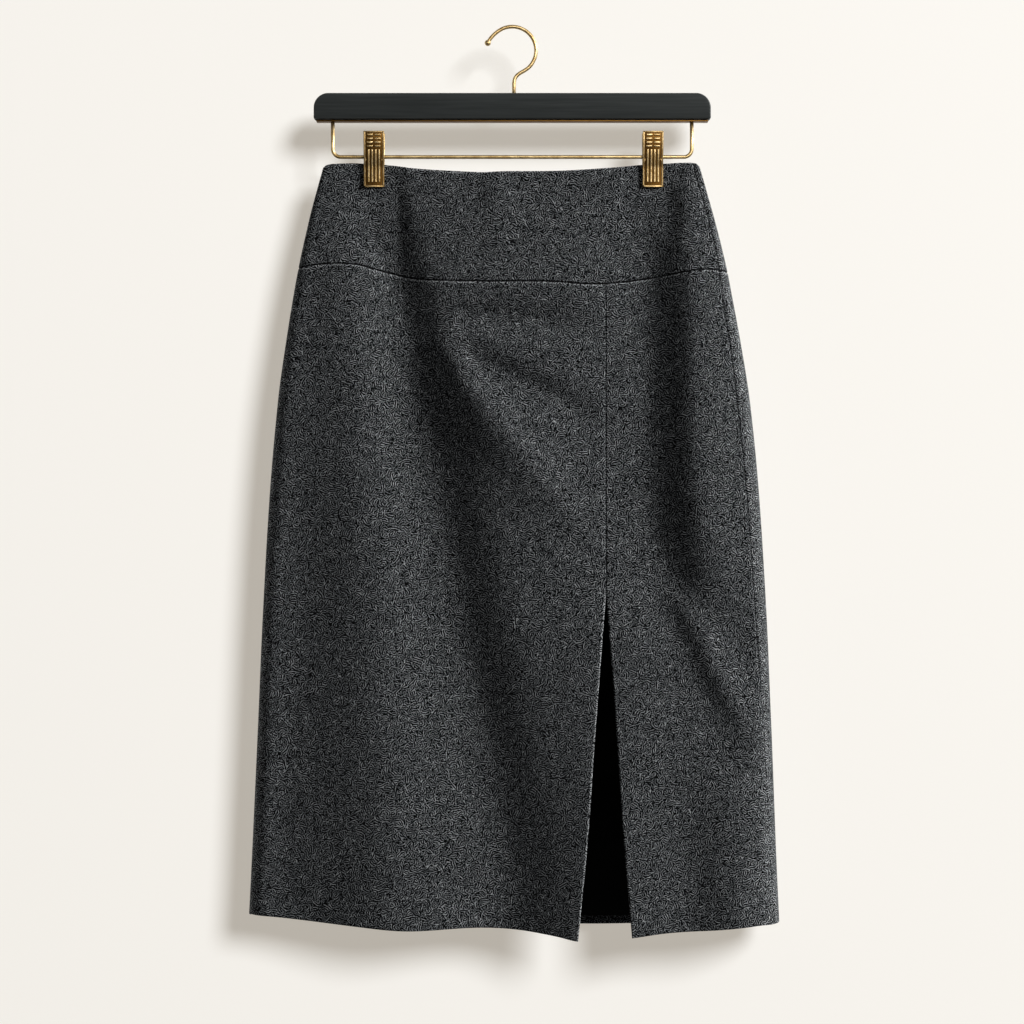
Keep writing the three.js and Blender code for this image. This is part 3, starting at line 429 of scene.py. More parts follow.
def clothPoints(along, drop, inset):
    # along runs round the ring from the left fold, over the front, and back behind
    ring = sectionAt(drop)
    along = np.mod(along, 2 * ring["halfRing"])
    onFront = along <= ring["halfRing"]
    across = np.where(onFront, along, 2 * ring["halfRing"] - along)
    fromFold = np.minimum(across, ring["halfRing"] - across)
    side = np.where(across < ring["halfRing"] / 2, -1, 1)
    inFold = fromFold < ring["quarter"]
    angle = np.minimum(fromFold / ring["quarter"], 1) * math.pi / 2
    flatX = ring["middle"] - ring["reach"] + across - ring["quarter"]
    foldX = ring["middle"] + side * (ring["reach"] + (ring["roll"] - inset) * np.cos(angle))
    x = np.where(inFold, foldX, flatX)
    rel = np.clip((flatX - ring["middle"]) / ring["reach"], -1, 1)
    crown = ring["roll"] + (ring["half"] - ring["roll"]) * (1 - rel**2) ** 1.5
    out = np.where(inFold, ring["roll"] * np.sin(angle), crown)
    hold = np.sin(angle) ** 2
    out = out + hold * facePush(x, drop, onFront)
    out = out + (skirt["gripped"] - out) * hold * pinch(x, drop)
    out = np.where(inFold, out, np.maximum(out, skirt["gripped"]))
    depth = out - inset * np.sin(angle)
    return np.stack([x, np.where(onFront, -depth, depth), skirt["waistZ"] - drop], axis=-1)


def frontAlong(x, drop):
    ring = sectionAt(drop)
    return ring["quarter"] + ring["reach"] + x - ring["middle"]


def backAlong(x, drop):
    return 2 * sectionAt(drop)["halfRing"] - frontAlong(x, drop)


def rightSeam(drop):
    return sectionAt(drop)["halfRing"] - readTable(sideSeams, "drop", "right", drop)


def leftSeam(drop):
    return -readTable(sideSeams, "drop", "left", drop)


def leftSeamBehind(drop):
    return 2 * sectionAt(drop)["halfRing"] + leftSeam(drop)


def backSeam(drop):
    return backAlong(skirt["backSeamX"], drop)


def slitEdge(side):
    def edge(drop):
        x = np.where(drop <= skirt["slitTop"], skirt["frontSeamX"], readTable(slit, "drop", side, drop))
        return frontAlong(x, drop)
    return edge


def crossEdge(front, back, nominal):
    # the drop of an edge that runs across the skirt, at a place round the ring
    def edge(along):
        level = np.full_like(along, nominal)
        ring = sectionAt(level)
        x = clothPoints(along, level, 0)[..., 0]
        onFront = np.mod(along, 2 * ring["halfRing"]) <= ring["halfRing"]
        return np.where(onFront, readTable(front, "x", "drop", x), readTable(back, "x", "drop", x))
    return edge


waistEdge = crossEdge(frontWaist, backWaist, 6)
yokeSeam = crossEdge(frontYoke, backYoke, 108)
hemEdge = crossEdge(frontHem, backHem, 728)

# lines of the mesh beside an edge, in millimetres from it
edgeSteps = (0, 0.2, 0.6, 1.1, 1.7, 2.5, 3.8)


def lineSteps(count):
    # each line's distance past the start, and its share of the stretch between the edge steps
    near, last = len(edgeSteps), edgeSteps[-1]
    between = count - 2 * near
    offset = list(edgeSteps) + [last] * between + [2 * last - step for step in reversed(edgeSteps)]
    share = [0] * near + [(i + 1) / (between + 1) for i in range(between)] + [1] * near
    return np.array(offset), np.array(share)


def rolledIn(distance, width):
    # how far the cloth has rolled over at a distance from its edge, from 0 to 1
    t = np.clip(1 - distance / width, 0, 1)
    return 1 - np.sqrt(1 - t * t)


seamFinish, turnedFinish, cutFinish, liningFinish, tapeFinish = table(
    "depth width innerWidth", (1.1, 2.0, 0.8), (1.5, 1.5, 1.5), (0.8, 0.8, 0.8), (0.5, 0.5, 0.5),
    (0.3, 0.3, 0.3))
edgeNames = ("top", "bottom", "left", "right")


def makeObject(bm, name, material):
    mesh = bpy.data.meshes.new(name)
    bm.to_mesh(mesh)
    bm.free()
    mesh.materials.append(material)
    made = bpy.data.objects.new(name, mesh)
    bpy.context.collection.objects.link(made)
    return made


def linkPiece(bm, name, material, nodes=(), body=skirtBody):
    # a finished piece, with the solids that it stands for and the body that it moves with
    piece = makeObject(bm, name, material)
    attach(piece, body)
    if nodes:
        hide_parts(*nodes)
    return piece


def placeGrid(cut):
    # where each line of a piece's mesh crosses: its place round the ring and its drop
    acrossOffset, acrossShare = (a[:, None] for a in lineSteps(cut["columns"]))
    downOffset, downShare = (a[None, :] for a in lineSteps(cut["rows"]))
    last = edgeSteps[-1]
    anyDrop, rounds = 300.0, 6  # a first guess, and how often both are worked out again
    drop = np.full((cut["columns"], cut["rows"]), anyDrop)
    for settle in range(rounds):
        left, right = cut["left"](drop), cut["right"](drop)
        along = left + acrossOffset + acrossShare * (right - left - 2 * last)
        top, bottom = cut["top"](along), cut["bottom"](along)
        drop = top + downOffset + downShare * (bottom - top - 2 * last)
    distances = {"left": along - cut["left"](drop), "right": cut["right"](drop) - along,
                 "top": drop - cut["top"](along), "bottom": cut["bottom"](along) - drop}
    return along, drop, distances


def clothLayers(cut, along, drop, distances):
    # the depths of a piece's outer and inner side below the outside of the skirt
    thick = cut["thick"](drop, distances)
    outer = np.zeros_like(drop)
    taken = np.zeros_like(drop)
    for edge, finish in cut["finishes"].items():
        sharpness = finish(drop) if callable(finish) else finish
        distance = distances[edge]
        outer = np.maximum(outer, sharpness["depth"] * rolledIn(distance, sharpness["width"]))
        inner = (thick - sharpness["depth"]) * rolledIn(distance, sharpness["innerWidth"])
        taken = np.maximum(taken, inner)
    inner = thick - taken
    for rim in (np.s_[0, :], np.s_[-1, :], np.s_[:, 0], np.s_[:, -1]):
        inner[rim] = outer[rim]
    base = cut.get("inset", 0)
    return outer + base, inner + base


# widths of the painted highlight line and the painted shade line
paintedShadingWidths = {"pale": 0.7, "dark": 0.8}


def paintedClothShading(cut, drop, distances):
    # painted shade in a seam, a painted highlight just beside it: how dark, how pale, and how far in the
    # pale line is
    paintedShading = np.zeros_like(drop)
    for edge, look in cut.get("paintedShadings", {}).items():
        dark, pale, at = look(drop) if callable(look) else look
        distance = distances[edge]
        paintedShading += pale * np.exp(-((distance - at) / paintedShadingWidths["pale"]) ** 2)
        paintedShading -= dark * np.exp(-(distance / paintedShadingWidths["dark"]) ** 2)
    return paintedShading


def clothPiece(name, node, cut, material, uvShift=(0, 0)):
    along, drop, distances = placeGrid(cut)
    outer, inner = clothLayers(cut, along, drop, distances)
    paintedShading = paintedClothShading(cut, drop, distances)
    columns, rows = cut["columns"], cut["rows"]
    bm = bmesh.new()
    uvLayer = bm.loops.layers.uv.new("cloth")
    # a value at each vertex for the painted seam shade and the painted edge highlight
    paintedShadingLayer = bm.verts.layers.float.new("paintedShading")
    for inset, isInner in ((outer, False), (inner, True)):
        points = clothPoints(along, drop, inset) * mm
        made = bmesh.ops.create_grid(bm, x_segments=columns - 1, y_segments=rows - 1, size=1)
        places = {}
        for vert in made["verts"]:
            i = round((vert.co.x + 1) / 2 * (columns - 1))
            j = round((1 - vert.co.y) / 2 * (rows - 1))
            places[vert] = (i, j)
            vert.co = points[i, j]
            vert[paintedShadingLayer] = paintedShading[i, j]
        faces = list({face for vert in made["verts"] for face in vert.link_faces})
        for face in faces:
            face.smooth = True
            for loop in face.loops:
                i, j = places[loop.vert]
                loop[uvLayer].uv = ((along[i, j] + uvShift[0]) * mm, (uvShift[1] - drop[i, j]) * mm)
        if isInner:
            bmesh.ops.reverse_faces(bm, faces=faces)
    bmesh.ops.remove_doubles(bm, verts=bm.verts, dist=0.005 * mm)
    piece = linkPiece(bm, name, material, [node])
    print(name, "made,", len(piece.data.polygons), "faces")
    return piece


def evenWall(thick):
    return lambda drop, distances: np.full_like(drop, thick)


def pastSlitTop(drop, above, below):
    return smoothStep(skirt["slitTop"] - above, skirt["slitTop"] + below, drop)


def turnedWall(slitSide=None):
    # thicker where the hem is turned up, and where the edge beside the slit is turned in
    def inside(distance, width):
        return 1 - smoothStep(width, width + 1.5, distance)

    def wall(drop, distances):
        isTurned = inside(distances["bottom"], skirt["hemTurn"])
        if slitSide:
            near = inside(distances[slitSide], skirt["facing"])
            isTurned = np.maximum(isTurned, near * pastSlitTop(drop, 4, 4))
        return skirt["cloth"] + (skirt["turned"] - skirt["cloth"]) * isTurned
    return wall


def slitFinish(drop):
    # a seam above the slit, a turned edge beside it
    low = pastSlitTop(drop, 3, 5)
    return {key: seamFinish[key] + (turnedFinish[key] - seamFinish[key]) * low for key in seamFinish}


def slitPaintedShading(drop):
    # the left edge of the slit gets a painted highlight; the seam above it gets a little painted shade and
    # only a faint painted highlight
    low = pastSlitTop(drop, 3, 5)
    return 0.15 * (1 - low), 0.1 + 0.45 * low, 1.6 - 0.9 * low


def makeCloth(tweed, satin):
    sideFinishes = {"left": seamFinish, "right": seamFinish}
    # painted shade and painted highlight by each edge: how dark, how pale, and how far in the pale line is
    sidePaintedShadings = {"left": (0, 0.06, 1.6), "right": (0, 0.06, 1.6)}
    yoke = {"top": waistEdge, "bottom": yokeSeam, "rows": 42, "thick": evenWall(skirt["cloth"]),
            "finishes": dict(sideFinishes, top=cutFinish, bottom=seamFinish),
            "paintedShadings": dict(sidePaintedShadings, bottom=(0.7, 0, 1), top=(0, 0.2, 0.6))}
    panelFinishes = dict(sideFinishes, top=seamFinish, bottom=turnedFinish)
    panelPaintedShadings = dict(sidePaintedShadings, top=(0.5, 0.45, 1.2))
    panel = {"top": yokeSeam, "bottom": hemEdge, "rows": 180, "thick": turnedWall(),
             "finishes": panelFinishes, "paintedShadings": panelPaintedShadings}
    pieces = {
        "yoke_front": dict(yoke, left=leftSeam, right=rightSeam, columns=150),
        "back_yoke_right": dict(yoke, left=rightSeam, right=backSeam, columns=80),
        "back_yoke_left": dict(yoke, left=backSeam, right=leftSeamBehind, columns=80),
        "front_panel_left": dict(
            panel, left=leftSeam, right=slitEdge("left"), columns=110, thick=turnedWall("right"),
            finishes=dict(panelFinishes, right=slitFinish), paintedShadings=dict(panelPaintedShadings, right=slitPaintedShading)),
        "front_panel_right": dict(
            panel, left=slitEdge("right"), right=rightSeam, columns=62, thick=turnedWall("left"),
            finishes=dict(panelFinishes, left=slitFinish), paintedShadings=dict(panelPaintedShadings, left=(0.1, 0.06, 1.6))),
        "back_panel_right": dict(panel, left=rightSeam, right=backSeam, columns=80),
        "back_panel_left": dict(panel, left=backSeam, right=leftSeamBehind, columns=80),
    }
    made = {}
    uvStep = (61, 37)  # each piece's pattern starts in another place
    for i, (node, cut) in enumerate(pieces.items()):
        made[node] = clothPiece(f"tweed_{node}", node, cut, tweed, (uvStep[0] * i, uvStep[1] * i))
    lining = {
        "left": lambda drop: sectionAt(drop)["halfRing"],
        "right": lambda drop: 2 * sectionAt(drop)["halfRing"],
        "top": lambda along: yokeSeam(along) + skirt["liningSewn"],
        "bottom": lambda along: hemEdge(along) - skirt["liningLift"],
        "columns": 100, "rows": 120, "inset": skirt["liningInset"],
        "thick": evenWall(skirt["liningCloth"]), "finishes": dict.fromkeys(edgeNames, liningFinish),
    }
    made["lining_back"] = clothPiece("satin_lining", "lining_back", lining, satin)
    return made


# the hanger's wire

def vertsIn(parts):
    return [part for part in parts if isinstance(part, bmesh.types.BMVert)]


def sweepWire(bm, points, radius, sides):
    # a round wire along points, one ring at each, closed at both ends
    points = [Vector(p) * mm for p in points]
    directions = [(ahead - behind).normalized()
                  for behind, ahead in zip(points[:1] + points, points[1:] + points[-1:])]
    turn = directions[0].to_track_quat("Z", "Y").to_matrix().to_4x4()
    ring = bmesh.ops.create_circle(bm, segments=sides, radius=radius * mm, cap_ends=True,
                                   matrix=Matrix.Translation(points[0]) @ turn)["verts"]
    edges = list({edge for vert in ring for edge in vert.link_edges})
    for i in range(1, len(points)):
        moved = bmesh.ops.extrude_edge_only(bm, edges=edges)["geom"]
        edges = [part for part in moved if isinstance(part, bmesh.types.BMEdge)]
        bend = directions[i - 1].rotation_difference(directions[i]).to_matrix().to_4x4()
        place = Matrix.Translation(points[i]) @ bend @ Matrix.Translation(-points[i - 1])
        bmesh.ops.transform(bm, matrix=place, verts=vertsIn(moved))
    bmesh.ops.contextual_create(bm, geom=edges)


def smoothed(bm, sharpAbove=180):
    # smooth faces, with a sharp edge where they turn by more than so many degrees; a mesh that is
    # smooth all over also has its faces turned outwards
    if sharpAbove == 180:
        bmesh.ops.recalc_face_normals(bm, faces=bm.faces)
    for face in bm.faces:
        face.smooth = True
    bm.normal_update()
    for edge in bm.edges:
        edge.smooth = edge.calc_face_angle(0) < math.radians(sharpAbove)
    return bm


hook = {"wire": 1.85, "sides": 20, "radius": 22.7, "tip": 163, "flare": 1.8, "flareFrom": 120,
        "leave": -50, "stemX": 1.6, "into": 8, "ball": 3}
# the bend from the hook's round part into its stem, below the middle of the round part
hookBend = table("x down", (10.7, 19.9), (7.2, 21.9), (4.4, 24.2), (2.5, 27.1), (1.75, 30.4), (1.6, 34))
rod = {"z": -122.8, "legX": 171.6, "bend": 7.5}
bar = {"width": 379, "height": 25.0, "depth": 14, "top": -62.4, "topCorner": 14, "lowCorner": 2.4,
       "edge": 1.2}
trim = {"width": 374, "depth": 11, "thick": 1.4, "gap": 0.8, "edge": 0.35, "toned": 1.0}
nearly = 1e-6  # in metres: places closer than this are the same


def smoothCurve(knots, steps):
    # a curve through the knots, as evenly many points between each two
    points = []
    for i in range(len(knots) - 1):
        a, b, c, d = (Vector(knots[min(max(k, 0), len(knots) - 1)]) for k in (i - 1, i, i + 1, i + 2))
        for step in range(steps):
            t = step / steps
            points.append(0.5 * (2 * b + (c - a) * t + (2 * a - 5 * b + 4 * c - d) * t**2
                                 + (3 * b - a - 3 * c + d) * t**3))
    points.append(Vector(knots[-1]))
    return points


def makeHook(brass):
    middleZ = hook["wire"] - hook["radius"]
    points = []
    steps = 48
    for i in range(steps + 1):
        angle = hook["tip"] + (hook["leave"] - hook["tip"]) * i / steps
        # the last part before the ball straightens a little
        past = max(angle - hook["flareFrom"], 0) / (hook["tip"] - hook["flareFrom"])
        reach = hook["radius"] + hook["flare"] * past**2
        turn = math.radians(angle)
        points.append((reach * math.cos(turn), 0, middleZ + reach * math.sin(turn)))
    bend = [points[-1]] + [(row["x"], 0, middleZ - row["down"]) for row in hookBend]
    points += smoothCurve(bend, 6)[1:]
    points.append((hook["stemX"], 0, bar["top"] - hook["into"]))
    bm = bmesh.new()
    sweepWire(bm, points, hook["wire"], hook["sides"])
    bmesh.ops.create_uvsphere(bm, u_segments=24, v_segments=16, radius=hook["ball"] * mm,
                              matrix=Matrix.Translation(Vector(points[0]) * mm))
    linkPiece(smoothed(bm), "brass_hook", brass, ["hanger_hook"])


def makeRod(brass):
    legTop = bar["top"] - bar["height"] + hook["into"]
    points = [(-rod["legX"], 0, legTop)]
    steps = 12
    for side, order in ((-1, range(steps + 1)), (1, range(steps, -1, -1))):
        for i in order:
            turn = i / steps * math.pi / 2
            points.append((side * (rod["legX"] - rod["bend"] + rod["bend"] * math.cos(turn)), 0,
                           rod["z"] + rod["bend"] - rod["bend"] * math.sin(turn)))
    points.append((rod["legX"], 0, legTop))
    bm = bmesh.new()
    sweepWire(bm, points, hook["wire"], hook["sides"])
    linkPiece(smoothed(bm), "brass_rod", brass, ["hanger_rod"])


def boxPart(bm, low, high):
    # a plain box between two corners, in millimetres
    low, high = Vector(low) * mm, Vector(high) * mm
    size = high - low
    place = Matrix.Translation((low + high) / 2) @ Matrix.Diagonal((size.x, size.y, size.z, 1))
    return bmesh.ops.create_cube(bm, size=1, matrix=place)["verts"]


def edgesAlong(verts, axis):
    found = {edge for vert in verts for edge in vert.link_edges}
    return [e for e in found if abs((e.verts[0].co - e.verts[1].co).normalized()[axis]) > 0.99]


def bevelEdges(bm, edges, width, segments):
    bmesh.ops.bevel(bm, geom=edges, offset=width * mm, offset_type="OFFSET", segments=segments,
                    profile=0.5, affect="EDGES", material=-1)


def makeBar(wood, brass):
    half, low, deep = bar["width"] / 2, bar["top"] - bar["height"], bar["depth"] / 2
    bm = bmesh.new()
    verts = boxPart(bm, (-half, -deep, low), (half, deep, bar["top"]))
    middle = (low + bar["top"]) / 2 * mm
    corners = [e for e in edgesAlong(verts, 1) if e.verts[0].co.z > middle]
    bevelEdges(bm, corners, bar["topCorner"], 16)
    corners = [e for e in edgesAlong(bm.verts, 1) if e.verts[0].co.z < low * mm + nearly
               and abs(abs(e.verts[0].co.x) - half * mm) < nearly]
    bevelEdges(bm, corners, bar["lowCorner"], 6)
    rims = [e for e in bm.edges if all(abs(abs(v.co.y) - deep * mm) < nearly for v in e.verts)]
    bevelEdges(bm, rims, bar["edge"], 4)
    linkPiece(smoothed(bm), "lacquered_bar", wood, ["hanger_bar"])

    bm = bmesh.new()
    half, deep, top = trim["width"] / 2, trim["depth"] / 2, low - trim["gap"]
    boxPart(bm, (-half, -deep, top - trim["thick"]), (half, deep, top))
    bevelEdges(bm, list(bm.edges), trim["edge"], 3)
    recess = bm.verts.layers.float.new("recess")
    for vert in bm.verts:
        vert[recess] = trim["toned"]
    linkPiece(smoothed(bm), "brass_trim", brass, ["bar_trim"])


# the clips: bent plates with ribs and bars, on a spring round the rod

clip = {
    "width": 19.6, "sheet": 1.2, "rimWide": 1.7, "rimHigh": 0.6, "lowRim": 1.8, "topRim": 1.4,
    "ribs": 4, "ribSpacing": 3.35, "ribWide": 1.85, "ribHigh": 0.9, "ribLow": -24.5, "ribTop": 6.6,
    "dashRows": 4, "dashTop": 20.2, "dashSpacing": 3.6, "dashWide": 5.8, "dashTall": 1.85,
    "dashFromMiddle": 3.75, "earWall": 1.2, "earRound": 4.0, "earReach": 5.8,
    "earHole": 2.0, "earAt": {"front": 8.0, "back": 6.4},
    "sheetEdge": 0.35, "rimEdge": 0.3, "ribEdge": 0.55, "untoned": 0.05, "toneCurve": 0.75,
}
sharpAbove = 35  # in degrees, for the small metal parts
# side view of a plate: heights from the rod, and how far out the middle of its sheet is
plateProfile = table(
    "up out", (-29.2, 2.9), (-11, 2.9), (-8, 3.7), (0, 5.6), (12, 7.6), (23.7, 8.6))
coil = {"wire": 0.66, "middle": 2.7, "half": 4.3, "turns": 6.4, "stepsPerTurn": 16}
# each end of the spring's wire rests inside a plate: heights from the rod, and how far out
coilLeg = table("up out", (1.5, 2.9), (5, 4.0), (10.5, 5.3))


def plateOut(z):
    # how far out the middle of a plate's sheet is at a height, both in metres
    ups, outs = ([row[key] for row in plateProfile] for key in ("up", "out"))
    return float(np.interp(z / mm, ups, outs)) * mm


def bentBlock(bm, low, high, bevel, segments=3):
    # a block laid along the plate: its sizes out are from the middle of the sheet
    block = bmesh.new()
    boxPart(block, low, high)
    fromEnd = 0.2  # a bend nearer to the block's end than this is left out
    for row in plateProfile:
        if low[2] + fromEnd < row["up"] < high[2] - fromEnd:
            bmesh.ops.bisect_plane(block, geom=block.verts[:] + block.edges[:] + block.faces[:],
                                   plane_co=(0, 0, row["up"] * mm), plane_no=(0, 0, 1))
    bevelEdges(block, [e for e in block.edges if e.calc_face_angle(0) > 1], bevel, segments)
    for vert in block.verts:
        vert.co.y += plateOut(vert.co.z)
    bmesh.ops.recalc_face_normals(block, faces=block.faces)
    joinInto(bm, block)


def joinInto(bm, part):
    mesh = bpy.data.meshes.new("part")
    part.to_mesh(mesh)
    part.free()
    bm.from_mesh(mesh)
    bpy.data.meshes.remove(mesh)


def earPart(bm, x):
    # a ring round the rod with a square shoulder that reaches the plate
    ear = bmesh.new()
    hole, wall, reach = clip["earHole"] * mm, clip["earWall"] * mm, clip["earRound"] * mm
    bmesh.ops.create_circle(ear, segments=24, radius=hole,
                            matrix=Matrix.Rotation(math.radians(90), 4, "Y"))
    moved = bmesh.ops.extrude_edge_only(ear, edges=ear.edges[:])["geom"]
    for vert in vertsIn(moved):
        y, z = vert.co.y / hole, vert.co.z / hole
        if y > 0.01:
            share = max(abs(y), abs(z))
            vert.co = (0, y / share * clip["earReach"] * mm, z / share * reach)
        else:
            vert.co = (0, y * reach, z * reach)
    faces = bmesh.ops.extrude_face_region(ear, geom=ear.faces[:])["geom"]
    bmesh.ops.translate(ear, verts=vertsIn(faces), vec=(wall, 0, 0))
    bmesh.ops.translate(ear, verts=ear.verts, vec=(x * mm - wall / 2, 0, 0))
    bmesh.ops.recalc_face_normals(ear, faces=ear.faces)
    joinInto(bm, ear)


def makePlate(side, face, clipX, brass):
    half, sheet = clip["width"] / 2, clip["sheet"] / 2
    foot, top = plateProfile[0]["up"], plateProfile[-1]["up"]
    bm = bmesh.new()
    bentBlock(bm, (-half, -sheet, foot), (half, sheet, top), clip["sheetEdge"])

    def raised(x, wide, low, high, height, bevel, segments):
        # a block that stands up from the sheet
        bentBlock(bm, (x - wide / 2, 0, low), (x + wide / 2, sheet + height, high), bevel, segments)

    rim, rib = (clip["rimHigh"], clip["rimEdge"], 3), (clip["ribHigh"], clip["ribEdge"], 4)
    for edge in (-1, 1):
        raised(edge * (half - clip["rimWide"] / 2), clip["rimWide"], foot, top, *rim)
    raised(0, clip["width"], foot, foot + clip["lowRim"], *rim)
    raised(0, clip["width"], top - clip["topRim"], top, *rim)
    for i in range(clip["ribs"]):
        x = (i - (clip["ribs"] - 1) / 2) * clip["ribSpacing"]
        raised(x, clip["ribWide"], clip["ribLow"], clip["ribTop"], *rib)
    for row in range(clip["dashRows"]):
        up, tall = clip["dashTop"] - row * clip["dashSpacing"], clip["dashTall"]
        for edge in (-1, 1):
            raised(edge * clip["dashFromMiddle"], clip["dashWide"], up - tall / 2, up + tall / 2, *rib)
    for edge in (-1, 1):
        earPart(bm, edge * clip["earAt"][face])
    # the tone is darkest on the sheet and thins towards the tops of the ribs; the inside has none
    recess = bm.verts.layers.float.new("recess")
    for vert in bm.verts:
        over = (vert.co.y - plateOut(vert.co.z)) / mm - sheet
        low = min(max((clip["ribHigh"] - over) / (clip["ribHigh"] - clip["untoned"]), 0), 1)
        vert[recess] = low ** clip["toneCurve"] if over > -sheet / 2 else 0
    if face == "front":
        bmesh.ops.rotate(bm, verts=bm.verts, matrix=Matrix.Rotation(math.pi, 3, "Z"))
    bmesh.ops.translate(bm, verts=bm.verts, vec=(clipX * mm, 0, rod["z"] * mm))
    linkPiece(smoothed(bm, sharpAbove), f"brass_clip_{side}_{face}", brass,
              [f"clip_{side}_{face}"])


def makeSpring(side, clipX, steel):
    points = []
    steps = int(coil["turns"] * coil["stepsPerTurn"])
    for i in range(steps + 1):
        turn = (i / steps - 0.5) * coil["turns"] * 2 * math.pi
        points.append((clipX + (i / steps * 2 - 1) * coil["half"], coil["middle"] * math.sin(turn),
                       rod["z"] - coil["middle"] * math.cos(turn)))
    first, last = ([(end[0], math.copysign(row["out"], end[1]), rod["z"] + row["up"]) for row in coilLeg]
                   for end in (points[0], points[-1]))
    bm = bmesh.new()
    sweepWire(bm, first[::-1] + points + last, coil["wire"], 8)
    linkPiece(smoothed(bm), f"clip_{side}_coil_spring", steel, [f"clip_{side}_spring"])


def makeClips(brass, steel):
    for side, clipX in zip(("left", "right"), skirt["clipX"]):
        for face in ("front", "back"):
            makePlate(side, face, clipX, brass)
        makeSpring(side, clipX, steel)


# the hem stitches of the lining

stitch = {"length": 2.6, "pitch": 3.4, "radius": 0.16, "aboveHem": 13, "start": 6, "nearDrop": 720}
# along a stitch, how deep its thread lies in the lining; less than nothing stands out from it
stitchSink = table("share sunk", (0, 0.25), (0.2, -0.05), (0.5, -0.15), (0.8, -0.05), (1, 0.25))


def makeStitches(thread):
    bm = bmesh.new()
    start = float(sectionAt(stitch["nearDrop"])["halfRing"])
    face = skirt["liningInset"] + skirt["liningCloth"]
    for i in range(int((start - 2 * stitch["start"]) / stitch["pitch"])):
        along = np.array(start + stitch["start"] + i * stitch["pitch"])
        drop = hemEdge(along) - skirt["liningLift"] - stitch["aboveHem"]
        points = [clothPoints(along + row["share"] * stitch["length"], drop, face - row["sunk"])
                  for row in stitchSink]
        sweepWire(bm, points, stitch["radius"], 5)
    linkPiece(smoothed(bm), "lining_hem_stitches", thread)


# the zip behind the centre back seam

zipParts = {"length": 205, "width": 26, "tape": 0.8, "inset": 1.9, "belowWaist": 3}
zipCoil = {"start": 24, "end": 10, "pitch": 1.6, "wide": 1.7, "wire": 0.22, "inset": 3.0, "fromSeam": 0.15,
           "lift": 0.08, "stepsPerTurn": 6}
slider = {"drop": 20.0, "width": 5.2, "tall": 8.2, "lift": 0.35, "plate": 1.1, "below": 3.2,
          "lowCorner": 1.2, "topCorner": 2.4, "edge": 0.3}
bail = {"width": 1.2, "leg": 1.0, "low": -2.1, "high": 3.5, "opening": 1.75, "thick": 0.8, "sunk": 0.2,
        "edge": 0.18}
pull = {"pivotOut": 2.3, "pivotUp": -0.3, "lean": 3, "thick": 0.8, "length": 23.0, "end": 2.7,
        "edge": 0.16, "crossbar": 0.5, "crossbarLong": 4.2, "eyeHalf": 1.0, "eyeLength": 4.6}
pullWidths = table("down half", (0, 2.1), (6, 2.1), (8.7, 1.98), (12, 2.21), (16, 2.54), (20.3, 2.7))


def makeZipTape(tape, enamel):
    half = zipParts["width"] / 2
    cut = {"left": lambda drop: backSeam(drop) - half, "right": lambda drop: backSeam(drop) + half,
           "top": lambda along: waistEdge(along) + zipParts["belowWaist"],
           "bottom": lambda along: np.full_like(along, zipParts["length"]),
           "columns": 22, "rows": 60, "inset": zipParts["inset"], "thick": evenWall(zipParts["tape"]),
           "finishes": dict.fromkeys(edgeNames, tapeFinish)}
    piece = clothPiece("woven_zip_tape", "zip_tape", cut, tape)
    # one flat coil on each side of the seam, on the inside of the tape
    bm = bmesh.new()
    turns = int((zipParts["length"] - zipCoil["start"] - zipCoil["end"]) / zipCoil["pitch"])
    for edge in (-1, 1):
        points = []
        for i in range(turns * zipCoil["stepsPerTurn"] + 1):
            turned = i / zipCoil["stepsPerTurn"]
            turn = turned * 2 * math.pi
            drop = np.array(zipCoil["start"] + turned * zipCoil["pitch"])
            across = zipCoil["fromSeam"] + zipCoil["wide"] / 2 * (1 + math.cos(turn))
            points.append(clothPoints(backSeam(drop) + edge * across, drop,
                                      zipCoil["inset"] + zipCoil["lift"] * math.sin(turn)))
        sweepWire(bm, points, zipCoil["wire"], 5)
    linkPiece(smoothed(bm), "zip_coil", enamel)
    return piece


def sliderPlace():
    # the slider's own frame: on the cloth, leaning with it; Y out from the back, Z up
    drops = (np.array(slider["drop"]), np.array(slider["drop"] + pull["length"]))
    seat, below = (Vector(clothPoints(backSeam(drop), drop, 0)) * mm for drop in drops)
    lean = math.atan2(below.y - seat.y, seat.z - below.z)
    return Matrix.Translation(seat) @ Matrix.Rotation(lean, 4, "X")


def pushFace(bm, face, axis, beyond):
    # extrude one face, and move what that makes to a place on an axis
    made = bmesh.ops.extrude_discrete_faces(bm, faces=face)["faces"]
    for vert in made[0].verts:
        vert.co[axis] = beyond * mm
    return made


